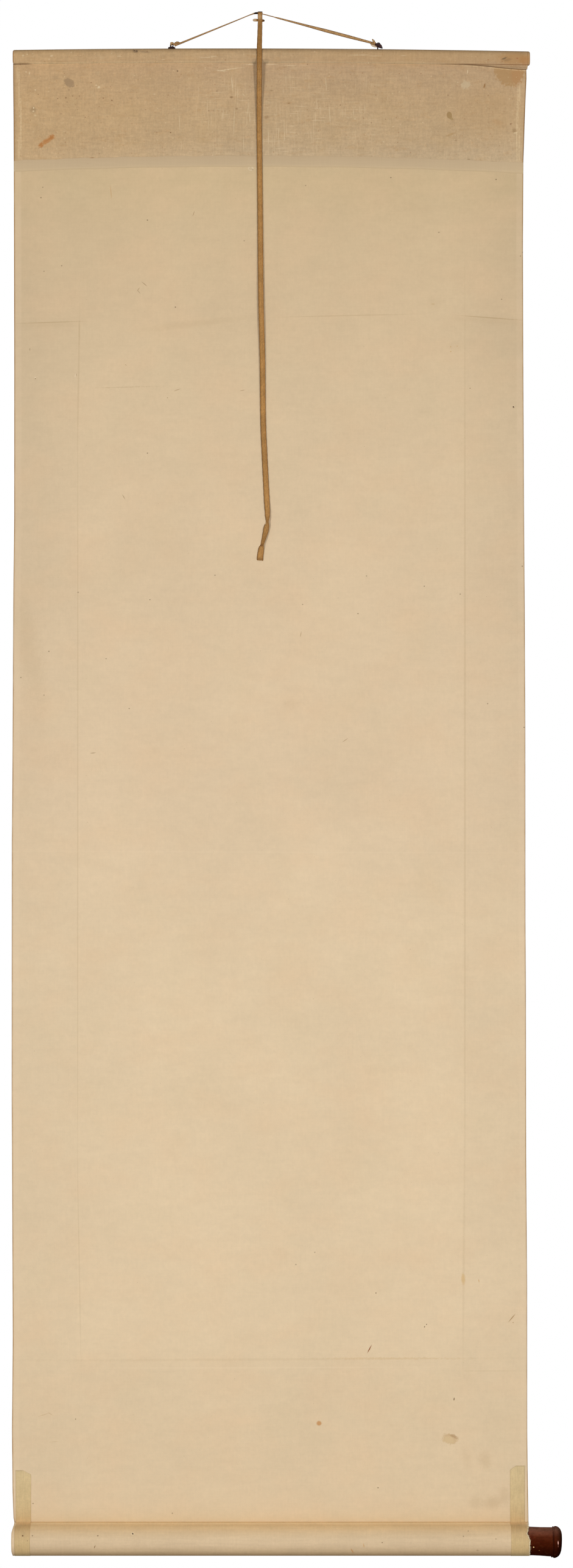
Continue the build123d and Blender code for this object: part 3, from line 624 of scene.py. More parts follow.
# stains; among them, painted shade and a painted highlight at the stave's right end, and painted shadow
# beside the ribbon
silk.marks(
    (113.5, 135, 9.2, 6.4, (157, 130, 98), 0.82, -38, 0.16, 0.5),
    (76.5, 231, 13, 3.8, (182, 126, 72), 0.82, 32, 0.4, 0.45),
    (66.5, 238.6, 3.0, 3.8, (178, 120, 66), 0.85, 20, 0.4, 0.9),
    (84.5, 224.4, 4.6, 3.8, (178, 120, 66), 0.85, 30, 0.4, 0.9),
    (77, 230, 10, 1.0, (168, 108, 58), 0.4, 32, 0.6, 1.2),
    (54, 180, 5.0, 4.6, (152, 126, 92), 0.6, 0, 0.6, 0.6),
    (55, 176.5, 0.9, 1.4, (226, 206, 168), 0.8, 0, 0.4, 0.3),
    (54.5, 182, 1.6, 1.4, (220, 196, 156), 0.7, 0, 0.5, 0.4),
    (57.5, 189, 2.2, 1.6, (214, 188, 146), 0.6, 0, 0.5, 0.4),
    (91, 127, 4.6, 3.6, (158, 132, 100), 0.35, 0, 0.7, 0.5),
    (223, 85, 4.8, 2.4, (120, 98, 74), 0.6, -10, 0.5, 0.8),
    (221, 83.6, 2.4, 0.6, (86, 66, 48), 0.85, -35, 0.4, 0.3),
    (225, 84.6, 1.4, 1.8, (90, 70, 52), 0.7, 10, 0.4, 0.3),
    (238, 86, 9, 2.0, (138, 114, 88), 0.4, -6, 0.6, 0.7),
    # the next two marks are painted shade and a painted highlight on the silk folded over the stave's right
    # end
    (866.8, 96, 0.8, 10, (120, 84, 50), 0.6, 0, 0.5, 0.5),
    (868.8, 96, 1.5, 9, (212, 176, 130), 0.5, 0, 0.5, 0.5),
    (846, 97, 27, 9.5, (170, 126, 76), 0.65),
    (862, 100, 9, 7, (170, 114, 60), 0.5, 0, 0.6, 0.3),
    (800, 185, 60, 36, (180, 142, 96), 0.2, 0, 0.6, 0.5),
    (720, 95, 190, 12, (176, 138, 92), 0.3, 0, 0.7, 0.4),
    # the next two marks are painted shadow of the ribbon on both its sides, just under the stave
    (418.5, 101, 4.5, 4.5, (146, 122, 92), 0.45, 30, 0.5, 0.2),
    (437.5, 101, 4.0, 4.5, (146, 122, 92), 0.45, -30, 0.5, 0.2),
    (828, 96.6, 4.6, 1.3, (112, 92, 66), 0.8, 22, 0.4, 0.4),
    (833, 99, 7, 2.2, (140, 112, 78), 0.5, 10, 0.6, 0.5),
    (849, 96.5, 1.6, 1.2, (150, 84, 54), 0.6),
)
belowCrease = silk.spread(silk.measure("fromCrease"), 0.4, -0.4)
bigStain = silk.times(silk.markMask(837, 115, 24, 26, 28, 0.78, 0.14, 0.45), belowCrease)
silk.blend(bigStain, (170, 133, 87))
silk.blend(silk.times(silk.markMask(849, 124, 9, 15, 0, 0.4, 0.5, 0.6), belowCrease), (178, 128, 82))
silk.marks(
    (765, 139, 7.4, 7.0, (199, 177, 142), 0.66, 0, 0.2, 0.75),
    (796, 140, 1.3, 4.0, (146, 106, 60), 0.8, -14, 0.35, 0.3),
    (738.4, 188.6, 4.3, 5.8, (159, 129, 85), 0.9, 12, 0.14, 0.2),
    (742, 194.4, 3.4, 2.0, (164, 136, 92), 0.8, -40, 0.3, 0.3),
    (741, 220, 8, 1.7, (168, 134, 86), 0.5, 22, 0.5, 0.6),
    (770, 262, 2.4, 2.0, (140, 112, 80), 0.6, 0, 0.6, 0.4),
    (749, 230, 2.0, 1.6, (150, 120, 84), 0.55, 0, 0.6, 0.4),
    (845, 214, 3.8, 3.0, (146, 116, 78), 0.55, 0, 0.7, 0.6),
    (847, 217.6, 3.4, 0.9, (220, 196, 156), 0.7, 10, 0.4, 0.5),
    (839, 203, 1.2, 1.2, (126, 84, 54), 0.7),
    (723, 120, 3.4, 3.2, (166, 142, 112), 0.45),
    (817, 200, 10, 4, (182, 142, 98), 0.35, -20, 0.6, 0.4),
    (151, 258.4, 3.6, 0.7, (150, 108, 66), 0.7, 6, 0.5, 0.3),
    (280, 217, 1.2, 1.2, (120, 86, 56), 0.8),
    (291.5, 116, 1.2, 1.2, (110, 84, 60), 0.85),
    (380, 159, 2.4, 1.7, (134, 102, 66), 0.65, 10, 0.6, 0.4),
    (389, 178, 2.2, 1.3, (134, 102, 66), 0.6, 0, 0.6, 0.4),
    (438, 192, 3.4, 2.4, (140, 106, 66), 0.5, 0, 0.7, 0.6),
    (474, 169, 2.2, 1.0, (140, 108, 70), 0.6, 0, 0.6, 0.4),
    (446, 148, 2.4, 1.2, (140, 110, 74), 0.5, 0, 0.6, 0.4),
)
for column, row, strength in (
    (108, 160, 0.95), (113, 147, 0.6), (130, 157, 0.6), (169.5, 160.5, 0.7), (94.5, 161, 0.7),
    (119, 157, 0.5), (149.5, 135, 0.6), (110, 167, 0.4), (62.5, 154.5, 0.5), (184, 164.5, 0.6),
    (140, 192, 0.5), (100, 186, 0.4), (183.5, 164, 0.6), (343, 181, 0.5), (356, 149, 0.5),
    (505, 105, 0.6), (559, 172, 0.6), (736, 155.5, 0.6), (767, 266, 0.5), (610, 201, 0.5),
):
    silk.mark(column, row, 1.15, 1.05, (118, 82, 52), strength * 0.8, 0, 0.5, 0.0)
# pale flecks and scratches
for column, row, wide, high, turn, strength in (
    (48, 119.5, 1.1, 2.3, 0, 0.8), (42.5, 117.5, 1.4, 1.1, 0, 0.6), (58, 147, 1.3, 1.0, 0, 0.9),
    (162, 142.6, 2.5, 1.8, 25, 0.95), (158, 139.5, 1.6, 1.2, 0, 0.7), (253.5, 153.8, 1.6, 0.8, 0, 0.9),
    (768, 117.5, 1.0, 4.0, -8, 0.75), (667, 126.5, 0.7, 3.4, -6, 0.35), (379, 112.6, 21, 0.9, 8, 0.62),
    (364, 115.6, 8, 1.1, -4, 0.6), (412, 105.4, 9, 0.8, -2, 0.75), (446, 104.8, 11, 0.8, 0, 0.7),
    (476, 107, 12, 0.7, 0, 0.5), (381.2, 137, 0.8, 13, 6, 0.6), (384.3, 200, 0.7, 24, -2, 0.5),
    (390.4, 155, 0.7, 13, 0, 0.45), (394, 178, 4.5, 0.6, 0, 0.5), (400, 155, 3.0, 1.0, -50, 0.5),
    (407, 180, 0.7, 12, -8, 0.45), (400, 235, 0.8, 17, 1, 0.4), (294.6, 200, 0.7, 22, 3, 0.42),
    (297.5, 238, 0.7, 9, 4, 0.35), (535.4, 137, 0.8, 12, 4, 0.5), (541.5, 187, 0.7, 19, 4, 0.5),
    (489.5, 193, 0.7, 13, 5, 0.36), (441, 222, 0.7, 12, 0, 0.3), (510, 218, 18, 0.6, 3, 0.4),
    (524, 227, 12, 0.6, 0, 0.36), (458, 243, 10, 0.6, 2, 0.36), (470, 248, 7, 0.6, 0, 0.36),
    (456, 231, 8, 0.6, 6, 0.3), (340, 95, 12, 0.7, 2, 0.5), (351, 93, 6, 0.8, 0, 0.5),
    (591, 91, 17, 0.8, 0, 0.45), (616, 92.6, 12, 0.7, 0, 0.42), (662, 92, 5, 0.8, 0, 0.4),
    (268, 98.5, 3.5, 0.7, 12, 0.5), (196, 93, 3.5, 1.0, 0, 0.4), (85, 92.5, 2.2, 1.3, 0, 0.6),
    (45, 90, 1.4, 1.2, 0, 0.6), (38, 92, 2.0, 1.8, 0, 0.5), (646, 207, 2.2, 0.9, 0, 0.4),
    (572, 193, 3.0, 1.0, 0, 0.4), (583, 194.6, 1.2, 1.2, 0, 0.6), (637, 160, 0.7, 5, -8, 0.3),
    (563, 164, 0.7, 6, 0, 0.3), (752, 134.5, 1.4, 1.0, 0, 0.5), (630, 232, 1.6, 1.0, 0, 0.5),
):
    silk.mark(column, row, wide * 0.85, high * 0.85, (222, 200, 162), strength * 0.85, turn, 0.6, 0.7)
silk.specks(75.0, 0.3, 0.07, (146, 100, 60), 0.55)
silk.specks(140.0, 0.34, 0.13, (164, 122, 78), 0.42, 0.2)
silk.specks(110.0, 0.16, 0.10, (220, 196, 156), 0.5, 0.4)
silk.specks(210.0, 0.2, 0.15, (216, 190, 148), 0.35, 0.9)
# crease under the stave: a fine dark line of painted shade, strongest at both ends, with a pale broken one
# beside it, a painted highlight on the rubbed ridge
fromCrease = silk.measure("fromCrease")
farLeft = silk.spread(silk.axis("X"), -0.262, -0.272)
farRight = silk.spread(silk.axis("X"), 0.20, 0.25)
creaseStrength = silk.spread(silk.most(farLeft, farRight), 0.0, 1.0, 0.03, 0.65)
creaseNoise = silk.noise(30, 5, 5, 2.0, 0.5, 0.3, 0.7)
# the fold's own shade is lifted, because the silk there is as light as beside it
overFold = silk.times(silk.spread(fromCrease, 1.7, 0.2), silk.spread(fromCrease, -0.5, 0.0))
overFold = silk.times(overFold, silk.spread(silk.most(farLeft, farRight), 0.0, 1.0, 1.0, 0.3))
silk.gain(overFold, 1.0, 1.8)
silk.blend(overFold, (227, 243, 255), "MULTIPLY")
creaseShadeLine = silk.spread(silk.math("ABSOLUTE", fromCrease), 0.75, 0.15)
silk.blend(silk.times(creaseShadeLine, creaseStrength), (112, 84, 56))
# a dark line along the stave's foot towards the right end, painted shade under the stave
staveFootShade = silk.spread(silk.math("ABSOLUTE", silk.measure("fromFoot")), 0.7, 0.15)
silk.blend(silk.times(staveFootShade, silk.spread(silk.axis("X"), 0.225, 0.27, 0.0, 0.8)), (128, 90, 56))
paleLine = silk.spread(silk.math("ABSOLUTE", silk.math("SUBTRACT", fromCrease, 1.9)), 0.9, 0.2)
silk.blend(silk.times(paleLine, silk.spread(creaseNoise, 0.0, 1.0, 0.0, 0.3)), (210, 184, 143))
underLine = silk.spread(silk.math("ABSOLUTE", silk.math("ADD", fromCrease, 1.3)), 0.8, 0.2)
dashes = silk.times(underLine, silk.times(farRight, silk.noise(110, 5, 5, 2.0, 0.6, 0.42, 0.56)))
silk.blend(silk.times(dashes, 0.45), (218, 192, 148))
silk.bump(silk.threads(110.0, 1100.0), 0.07, 0.5)
silkLook = silk.done()

# Lining strip below the silk, a shade lighter, fading into the paper
lining = Finish("lining_paper")
lining.byHeight(
    (-184, (201, 177, 141)), (-179, (198, 174, 139)), (-172, (195, 171, 137)), (-164, (191, 166, 132))
)
lining.grain(11, 11, 16, 4.0, 0.6, 0.98, 1.02)
lining.woven(30.0, 640.0, 0.98, 1.02)
lining.specks(70.0, 0.2, 0.05, (160, 128, 92), 0.35)
lining.blend(lining.spread(lining.measure("fromTop"), 24.6, 27.2), (205, 180, 142))
liningLook = lining.done()

# Patches: olive-tan silk; its colour by height paints the roller's shade, darkest underneath, and a pale
# painted highlight along the crease
patchSilk = Finish("patch_silk", roughness=0.7, specular=0.2, cloth=True)
patchSilk.byHeight(
    (-1796, (110, 92, 62)), (-1793.5, (160, 137, 93)), (-1788, (190, 162, 115)), (-1776, (198, 171, 124)),
    (-1766, (200, 170, 124)), (-1760, (199, 165, 115)), (-1758.5, (206, 172, 122)),
    (-1757.2, (236, 196, 142)), (-1756, (194, 162, 114)), (-1750, (196, 168, 122)),
    (-1735, (203, 178, 132)), (-1691, (203, 180, 136)),
)
patchSilk.grain(60, 20, 60, 3.0, 0.6, 0.97, 1.03)
patchSilk.woven(60.0, 900.0, 0.965, 1.03)
patchSilk.woven(90.0, 1500.0, 0.975, 1.022)
patchSilk.grain(150, 60, 150, 3.0, 0.6, 0.97, 1.03)
patchSilk.grain(1100, 60, 60, 3.0, 0.65, 0.95, 1.045)
patchSilk.grain(500, 60, 500, 3.0, 0.65, 0.965, 1.035)
patchSilk.marks(
    (39, 2518, 1.3, 1.2, (110, 80, 50), 0.9, 0, 0.5, 0.2),
    (47, 2526, 0.9, 0.9, (130, 100, 66), 0.6, 0, 0.5, 0.2),
)
patchSilk.bump(patchSilk.threads(110.0, 1300.0), 0.06, 0.5)
patchLook = patchSilk.done()

# Front: plain border silk and a bare panel
borderSilk = Finish("border_silk", roughness=0.7, specular=0.2, cloth=True)
borderSilk.byHeight((-1800, (150, 136, 104)), (-900, (158, 144, 112)), (0, (152, 138, 108)))
borderSilk.grain(9, 9, 9, 4.0, 0.6, 0.96, 1.04)
borderSilk.woven(40.0, 700.0, 0.94, 1.05)
borderSilk.woven(160.0, 1500.0, 0.95, 1.05)
borderSilk.bump(borderSilk.threads(110.0, 1300.0), 0.06, 0.5)
borderLook = borderSilk.done()
panelPaper = Finish("panel_paper", cloth=True)
panelPaper.byHeight((-1800, (203, 186, 152)), (-900, (210, 194, 160)), (0, (204, 188, 154)))
panelPaper.grain(8, 8, 8, 4.0, 0.6, 0.965, 1.03)
panelPaper.woven(30.0, 500.0, 0.98, 1.02)
panelPaper.specks(30.0, 0.3, 0.02, (160, 132, 98), 0.5)
panelLook = panelPaper.done()

# Woods, lacquer and iron
wood = Finish("bare_wood", roughness=0.7, specular=0.25)
woodGrain = wood.noise(14, 260, 260, 4.0, 0.6, 0.3, 0.7)
wood.colour = wood.ramp(woodGrain, [(0.0, (158, 120, 80)), (1.0, (186, 150, 108))])
woodLook = wood.done()
lacquer = Finish("dark_lacquer", roughness=0.4, specular=0.0)
# colour by height: lighter on top as painted sheen, darkest underneath as painted shade
lacquer.byHeight(
    (-1797, (34, 8, 2)), (-1792, (40, 9, 2)), (-1784, (50, 15, 4)), (-1776, (66, 23, 8)),
    (-1770, (82, 36, 19)), (-1765, (112, 66, 49)), (-1762, (118, 78, 62)), (-1758, (104, 66, 52)),
)
lacquer.grain(60, 110, 110, 4.0, 0.65, 0.78, 1.22)
lacquer.grain(300, 300, 300, 3.0, 0.6, 0.88, 1.12)
lacquer.cloud(160, 160, 160, 2.0, 0.5, 0.56, 0.72, 0.4, (60, 16, 8))
lacquer.cloud(120, 120, 120, 2.0, 0.5, 0.56, 0.72, 0.25, (106, 62, 34))
# a dark line in the groove between flange and cap, painted shade
lacquer.mark(907.6, 2531, 0.9, 26, (36, 10, 6), 0.7, 2.3, 0.5, 0.1)
# the cap is darker than the body and darkens towards its end, painted shade where the dome turns away
lacquer.gain(lacquer.spread(lacquer.axis("X"), 0.341, 0.3445), 1.0, 0.8)
lacquer.gain(lacquer.spread(lacquer.axis("X"), 0.3455, 0.3515), 1.0, 0.35)
# the first two marks are a painted highlight on the cap; the others are flecks
lacquer.marks(
    (914.8, 2529.4, 0.8, 2.6, (240, 184, 166), 0.85, 2.3, 0.6, 0.3),
    (914.8, 2534.6, 0.6, 1.8, (170, 106, 86), 0.5, 2.3, 0.6, 0.3),
    (874.8, 2536.8, 1.1, 0.9, (226, 186, 130), 0.95, -40, 0.4, 0.3),
    (884, 2542.5, 0.9, 0.8, (124, 86, 44), 0.8, 0, 0.4, 0.3),
)
lacquerLook = lacquer.done()
iron = Finish("dark_iron", roughness=0.6, specular=0.15)
rust = iron.noise(700, 700, 700, 3.0, 0.6)
iron.colour = iron.ramp(rust, [(0.0, (18, 10, 12)), (0.6, (46, 22, 24)), (1.0, (84, 42, 36))])
ironLook = iron.done()

# Cord and ribbon fibre: the cord's strands are painted light along their tops and painted shade at their
# sides; the ribbon has dark selvedges, a pale rim and light and dark lengthwise stripes
cordFibre = Finish("cord_fibre", roughness=0.8, specular=0.15)
cordFibre.colour = cordFibre.ramp(
    cordFibre.axis("X", cordFibre.flat),
    [
        (0.0, (96, 62, 30)), (0.2, (140, 100, 56)), (0.5, (198, 158, 108)), (0.8, (140, 100, 56)),
        (1.0, (96, 62, 30)),
    ],
)
cordFibre.grain(260, 260, 260, 3.0, 0.6, 0.8, 1.18)
cordFibre.grain(1500, 1500, 1500, 2.0, 0.6, 0.85, 1.14)
cordFibre.marks(
    (420.2, 21.2, 3.4, 2.6, (26, 20, 20), 0.95, 0, 0.3, 0.2),
    (612.5, 66.5, 1.2, 1.8, (214, 188, 144), 0.5, 30, 0.3, 0.2),
    (613.4, 75.8, 6.5, 1.3, (226, 208, 184), 0.75, -22, 0.4, 0.2),
    (617.5, 72.8, 1.6, 2.6, (70, 26, 24), 0.8, 0, 0.4, 0.3),
    (281.6, 70.0, 3.0, 1.6, (212, 178, 128), 0.5, 0, 0.4, 0.2),
)
cordLook = cordFibre.done()
ribbonFibre = Finish("ribbon_fibre", roughness=0.8, specular=0.15)
acrossRibbon = ribbonFibre.axis("X", ribbonFibre.flat)
ribbonFibre.colour = ribbonFibre.ramp(
    acrossRibbon,
    [
        (0.0, (180, 145, 95)), (0.03, (94, 59, 25)), (0.10, (124, 84, 40)), (0.19, (178, 133, 77)),
        (0.27, (142, 100, 52)), (0.36, (182, 137, 80)), (0.44, (152, 108, 57)), (0.53, (184, 139, 83)),
        (0.61, (140, 97, 49)), (0.70, (180, 134, 78)), (0.79, (150, 105, 55)), (0.88, (168, 123, 69)),
        (0.965, (94, 57, 23)), (1.0, (180, 145, 95)),
    ],
)
ribbonHeight = ribbonFibre.axis("Z")
ribbonFibre.gain(ribbonFibre.spread(ribbonHeight, -0.13, -0.02), 1.03, 0.9)
ribbonFibre.blend(ribbonFibre.spread(ribbonHeight, -0.075, -0.035, 0.0, 0.3), (134, 92, 42))
ribbonFibre.grain(60, 60, 60, 3.0, 0.6, 0.86, 1.12)
ribbonFibre.grain(900, 900, 500, 3.0, 0.6, 0.84, 1.16)
ribbonFibre.marks(
    (427.4, 19.0, 5.0, 1.5, (44, 28, 18), 0.85, 0, 0.4, 0.2),
    (426.5, 27.5, 2.6, 4.0, (196, 158, 112), 0.6),
    (433.4, 33.4, 1.6, 1.8, (56, 32, 18), 0.9, 0, 0.4, 0.2),
    (418.4, 33.0, 2.6, 2.2, (214, 186, 150), 0.7, 0, 0.4, 0.2),
    (434.8, 856, 1.6, 5.0, (224, 200, 160), 0.8, 12, 0.4, 0.3),
    (429.6, 895.5, 3.0, 2.6, (112, 74, 40), 0.6, 20, 0.5, 0.5),
    (427.4, 918.5, 6.0, 1.8, (120, 84, 48), 0.5, 0, 0.6, 0.5),
)
ribbonLook = ribbonFibre.done()
print("finishes made")


# Lines that cords and strips follow: smooth splines, read back at even steps
def distances(line):
    return np.concatenate([[0.0], np.cumsum(np.linalg.norm(np.diff(line, axis=0), axis=1))])


def evenly(line, gap):
    columns = np.array([list(point) for point in line], float)
    reach = distances(columns)
    where = np.linspace(0, reach[-1], max(2, round(reach[-1] / gap)) + 1)
    return np.stack([np.interp(where, reach, columns[:, axis]) for axis in range(3)], axis=1)


def smoothLine(points, gap):
    data = bpy.data.curves.new("route", "CURVE")
    data.dimensions = "3D"
    data.resolution_u = 24
    spline = data.splines.new("NURBS")
    spline.points.add(len(points) - 1)
    for target, point in zip(spline.points, points):
        target.co = (*point, 1.0)
    spline.order_u = 3
    spline.use_endpoint_u = True
    holder = bpy.data.objects.new("route", data)
    mesh = bpy.data.meshes.new_from_object(holder)
    line = [vertex.co.copy() for vertex in mesh.vertices]
    bpy.data.objects.remove(holder)
    bpy.data.meshes.remove(mesh)
    bpy.data.curves.remove(data)
    return evenly(line, gap)


def headings(line):
    step = np.gradient(line, axis=0)
    return step / np.linalg.norm(step, axis=1)[:, None]


# The flat and outward directions of a strip at one place on its line
def frameAt(forward, roll=0.0, level=None):
    forward = Vector(forward)
    flat = Vector((0, 1, 0)).cross(forward) if level is None else level - forward * forward.dot(level)
    flat = Matrix.Rotation(roll, 3, forward) @ flat.normalized()
    return flat, forward.cross(flat).normalized()


# A strand: an oval run along a line. Its UV goes round from edge to edge, and along
def addStrand(parts, line, widthAt, thick, sides=8):
    points, faces, uvs = parts
    start = len(points)
    reach = distances(line)
    for index, (centre, forward) in enumerate(zip(line, headings(line))):
        flat, out = frameAt(forward)
        width = widthAt(reach[index] / reach[-1]) if callable(widthAt) else widthAt
        for side in range(sides):
            turn = 2 * math.pi * side / sides
            rim = flat * math.cos(turn) * width / 2 + out * math.sin(turn) * thick / 2
            points.append(tuple(Vector(centre) + rim))
            uvs.append((math.cos(turn) / 2 + 0.5, reach[index] * mm))
    faces += tubeFaces(len(line), sides, start)


# A flat braid: strands that swing from edge to edge and pass over and under each other
def addBraid(parts, line, widthAt, thick, strands, pitch, fullness=0.19):
    reach = distances(line)
    ways = headings(line)
    for strand in range(strands):
        phase = reach / pitch + strand / strands
        swing = 2 * np.abs(2 * (phase % 1) - 1) - 1
        swing = np.sin(swing * math.pi / 2)
        depth = np.sin(4 * math.pi * phase + math.pi / 4)
        path = []
        for index, centre in enumerate(line):
            flat, out = frameAt(ways[index])
            width = widthAt(reach[index])
            middle = Vector(centre) + flat * swing[index] * width * (0.5 - fullness)
            path.append(middle + out * depth[index] * thick * 0.22)
        wide = np.array([widthAt(value) for value in reach])
        share = reach / reach[-1]
        addStrand(
            parts,
            np.array(path),
            lambda gone, wide=wide, share=share: float(np.interp(gone, share, wide)) * 2 * fullness,
            thick * 0.55,
            6,
        )


# Hanging cord: a flat braid, taut from eyelet to eyelet over the hanging point
hangingCord = {
    "route": [
        (-98.0, 0.0, -36.49), (-24.2, 0.0, -6.53), (-6.0, 0.0, 1.15), (0.4, 0.0, 1.6), (20.0, 0.0, -3.84),
        (131.9, 0.0, -33.27),
    ],
    "places": [0, 50, 92, 98, 102, 106, 109, 124, 127, 160, 186, 214, 234, 242],
    "widths": [2.4, 1.75, 1.15, 1.5, 2.6, 2.6, 1.15, 1.1, 1.8, 2.7, 3.9, 3.8, 3.0, 2.7],
    "declared": 4.0,
    "thick": 2.0,
    "strands": 8,
    "pitch": 17.0,
}
cordLine = smoothLine(hangingCord["route"], 0.8)
cordParts = ([], [], [])
addBraid(
    cordParts,
    cordLine,
    lambda gone: float(np.interp(gone, hangingCord["places"], hangingCord["widths"])),
    hangingCord["thick"],
    hangingCord["strands"],
    hangingCord["pitch"],
)
cordPiece = pieceFromPoints("hanging_cord_braid", *cordParts[:2], cordLook, cordParts[2])
turnOutward(cordPiece)
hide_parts("hanging_cord")

# Knots: the cord's turns round each eye's wire, and its hitched ends
knotBraid = (1.5, 4, 5.5, 0.24)  # thickness, strands, pitch and fullness
knots = {
    "left": {
        "eye": [
            (287.2, 74.6, -0.9), (285.2, 72.2, -1.5), (283.0, 70.5, -1.5), (281.1, 70.6, -1.5),
            (280.8, 72.4, -1.5), (281.9, 74.8, -0.6),
        ],
        "eyeWidths": [1.2, 2.2, 2.4, 2.4, 2.2, 1.6],
        "lobes": [
            (
                [
                    (286.0, 74.0, -1.2), (287.6, 71.2, -1.7), (290.6, 69.8, -1.8),
                    (293.4, 69.7, -1.7), (296.2, 70.4, -1.2),
                ],
                [1.0, 2.3, 2.6, 2.0, 0.6],
            ),
            (
                [(286.4, 75.0, -1.0), (289.0, 73.5, -1.9), (293.0, 71.8, -1.7), (297.0, 70.3, -1.2)],
                [1.2, 1.5, 1.3, 0.8],
            ),
        ],
    },
    "right": {
        "eye": [
            (610.2, 71.6, -1.0), (612.6, 71.0, -1.6), (615.2, 71.4, -1.7), (617.2, 73.0, -1.5),
            (618.0, 75.0, -0.6),
        ],
        "eyeWidths": [2.0, 3.4, 3.8, 3.2, 1.8],
        "lobes": [
            (
                [(608.4, 71.2, -1.0), (609.6, 73.8, -1.8), (613.4, 76.6, -1.9), (619.4, 77.6, -1.5)],
                [1.2, 1.8, 1.6, 0.9],
            ),
            (
                [(609.8, 71.4, -0.8), (611.6, 73.4, -1.3), (614.4, 74.8, -1.3), (617.6, 75.4, -0.8)],
                [1.6, 2.6, 2.6, 1.4],
            ),
            (
                [(615.6, 72.4, -1.2), (614.6, 69.4, -2.1), (613.0, 66.8, -2.2), (611.4, 64.5, -1.8)],
                [2.0, 2.9, 2.7, 1.1],
            ),
            (
                [(610.4, 70.0, -2.6), (612.4, 71.6, -3.0), (615.2, 73.8, -2.9), (616.4, 76.0, -1.6)],
                [1.0, 1.6, 1.5, 0.7],
            ),
        ],
    },
}


# Places in a knot are a column and row of the picture and a depth; widths go along each strand
def knotStrand(parts, places, widths):
    spots = [(seen(column, row), depth) for column, row, depth in places]
    line = smoothLine([(x, depth, z) for (x, z), depth in spots], 0.3)
    reach = float(distances(line)[-1])
    shares = np.linspace(0, reach, len(widths))
    addBraid(parts, line, lambda gone: float(np.interp(gone, shares, widths)), *knotBraid)


def knotPiece(side):
    parts = ([], [], [])
    knotStrand(parts, knots[side]["eye"], knots[side]["eyeWidths"])
    for places, widths in knots[side]["lobes"]:
        knotStrand(parts, places, widths)
    piece = pieceFromPoints(side + "_knot_braid", *parts[:2], cordLook, parts[2])
    turnOutward(piece)
    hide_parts(side + "_cord_knot")
    return piece


knotPieces = [knotPiece("left"), knotPiece("right")]

# Tie ribbon: width and roll in degrees by height, for its free end
tieRibbon = {
    "route": [
        (1.6, -2.1, -8.0), (1.2, -3.9, -24.0), (0.7, -6.3, -41.0), (0.7, -6.4, -58.0), (0.5, -2.6, -86.0),
        (0.35, 1.4, -118.0), (0.9, 2.2, -165.0), (1.4, 2.3, -212.0), (2.0, 1.6, -275.0),
        (2.5, -0.2, -340.0), (4.2, 1.1, -390.0), (4.6, 2.0, -437.0), (5.1, 2.4, -480.0),
        (7.2, 2.6, -523.0), (9.2, 2.4, -563.0), (10.6, 1.2, -588.0), (8.2, 1.6, -603.0),
        (4.6, 1.8, -615.0), (2.1, 2.7, -626.0), (1.3, 2.8, -636.0),
    ],
    "heights": [-636, -628, -622, -618, -611, -600, -596, -591, -584, -566, -480, -300, -120, -40, -24, -8],
    "widths": [7.5, 7.2, 6.6, 5.6, 6.0, 6.7, 6.6, 5.6, 6.2, 6.5, 6.4, 6.4, 6.0, 6.1, 5.7, 5.3],
    "rolls": [0, 0, 12, 48, 36, 8, 26, 56, 22, 0, 0, 0, 0, 0, 0, 0],
    "thick": 0.8,
    "ribs": 6,
}


def addRibbon(parts, line, widths, rolls, thick, ribs, frayed=0.0):
    points, faces, uvs = parts
    start, across = len(points), 36
    reach = distances(line)
    for index, (centre, forward) in enumerate(zip(line, headings(line))):
        flat, out = frameAt(forward, math.radians(rolls[index]), Vector((1, 0, 0)))
        left = reach[-1] - reach[index]
        for step in range(across):
            turn = 2 * math.pi * step / across
            side, rise = math.cos(turn), math.sin(turn)
            rib = 0.72 + 0.28 * abs(math.cos(side * math.pi * ribs / 2))
            swell = min(1.0, 0.1 + reach[index] / 2.0)
            bulk = math.copysign(abs(rise) ** 0.35, rise) * rib * thick / 2 * swell
            edge = 1 + 0.02 * math.sin(reach[index] / 1.3 + 2 * side) + 0.015 * math.sin(reach[index] / 0.37)
            place = Vector(centre) + flat * side * edge * widths[index] / 2 + out * bulk
            if left < 3.0:
                place += Vector(forward) * frayed * math.sin(side * 9 + 1) * (1 - left / 3.0)
            points.append(tuple(place))
            uvs.append((side / 2 + 0.5, reach[index] * mm))
    faces += tubeFaces(len(line), across, start)


ribbonLine = smoothLine(tieRibbon["route"], 0.7)
ribbonParts = ([], [], [])
addRibbon(
    ribbonParts,
    ribbonLine,
    np.interp(ribbonLine[:, 2], tieRibbon["heights"], tieRibbon["widths"]),
    np.interp(ribbonLine[:, 2], tieRibbon["heights"], tieRibbon["rolls"]),
    tieRibbon["thick"],
    tieRibbon["ribs"],
    0.5,
)
ribbonPiece = pieceFromPoints("tie_ribbon_strip", *ribbonParts[:2], ribbonLook, ribbonParts[2])
turnOutward(ribbonPiece)
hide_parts("tie_ribbon")

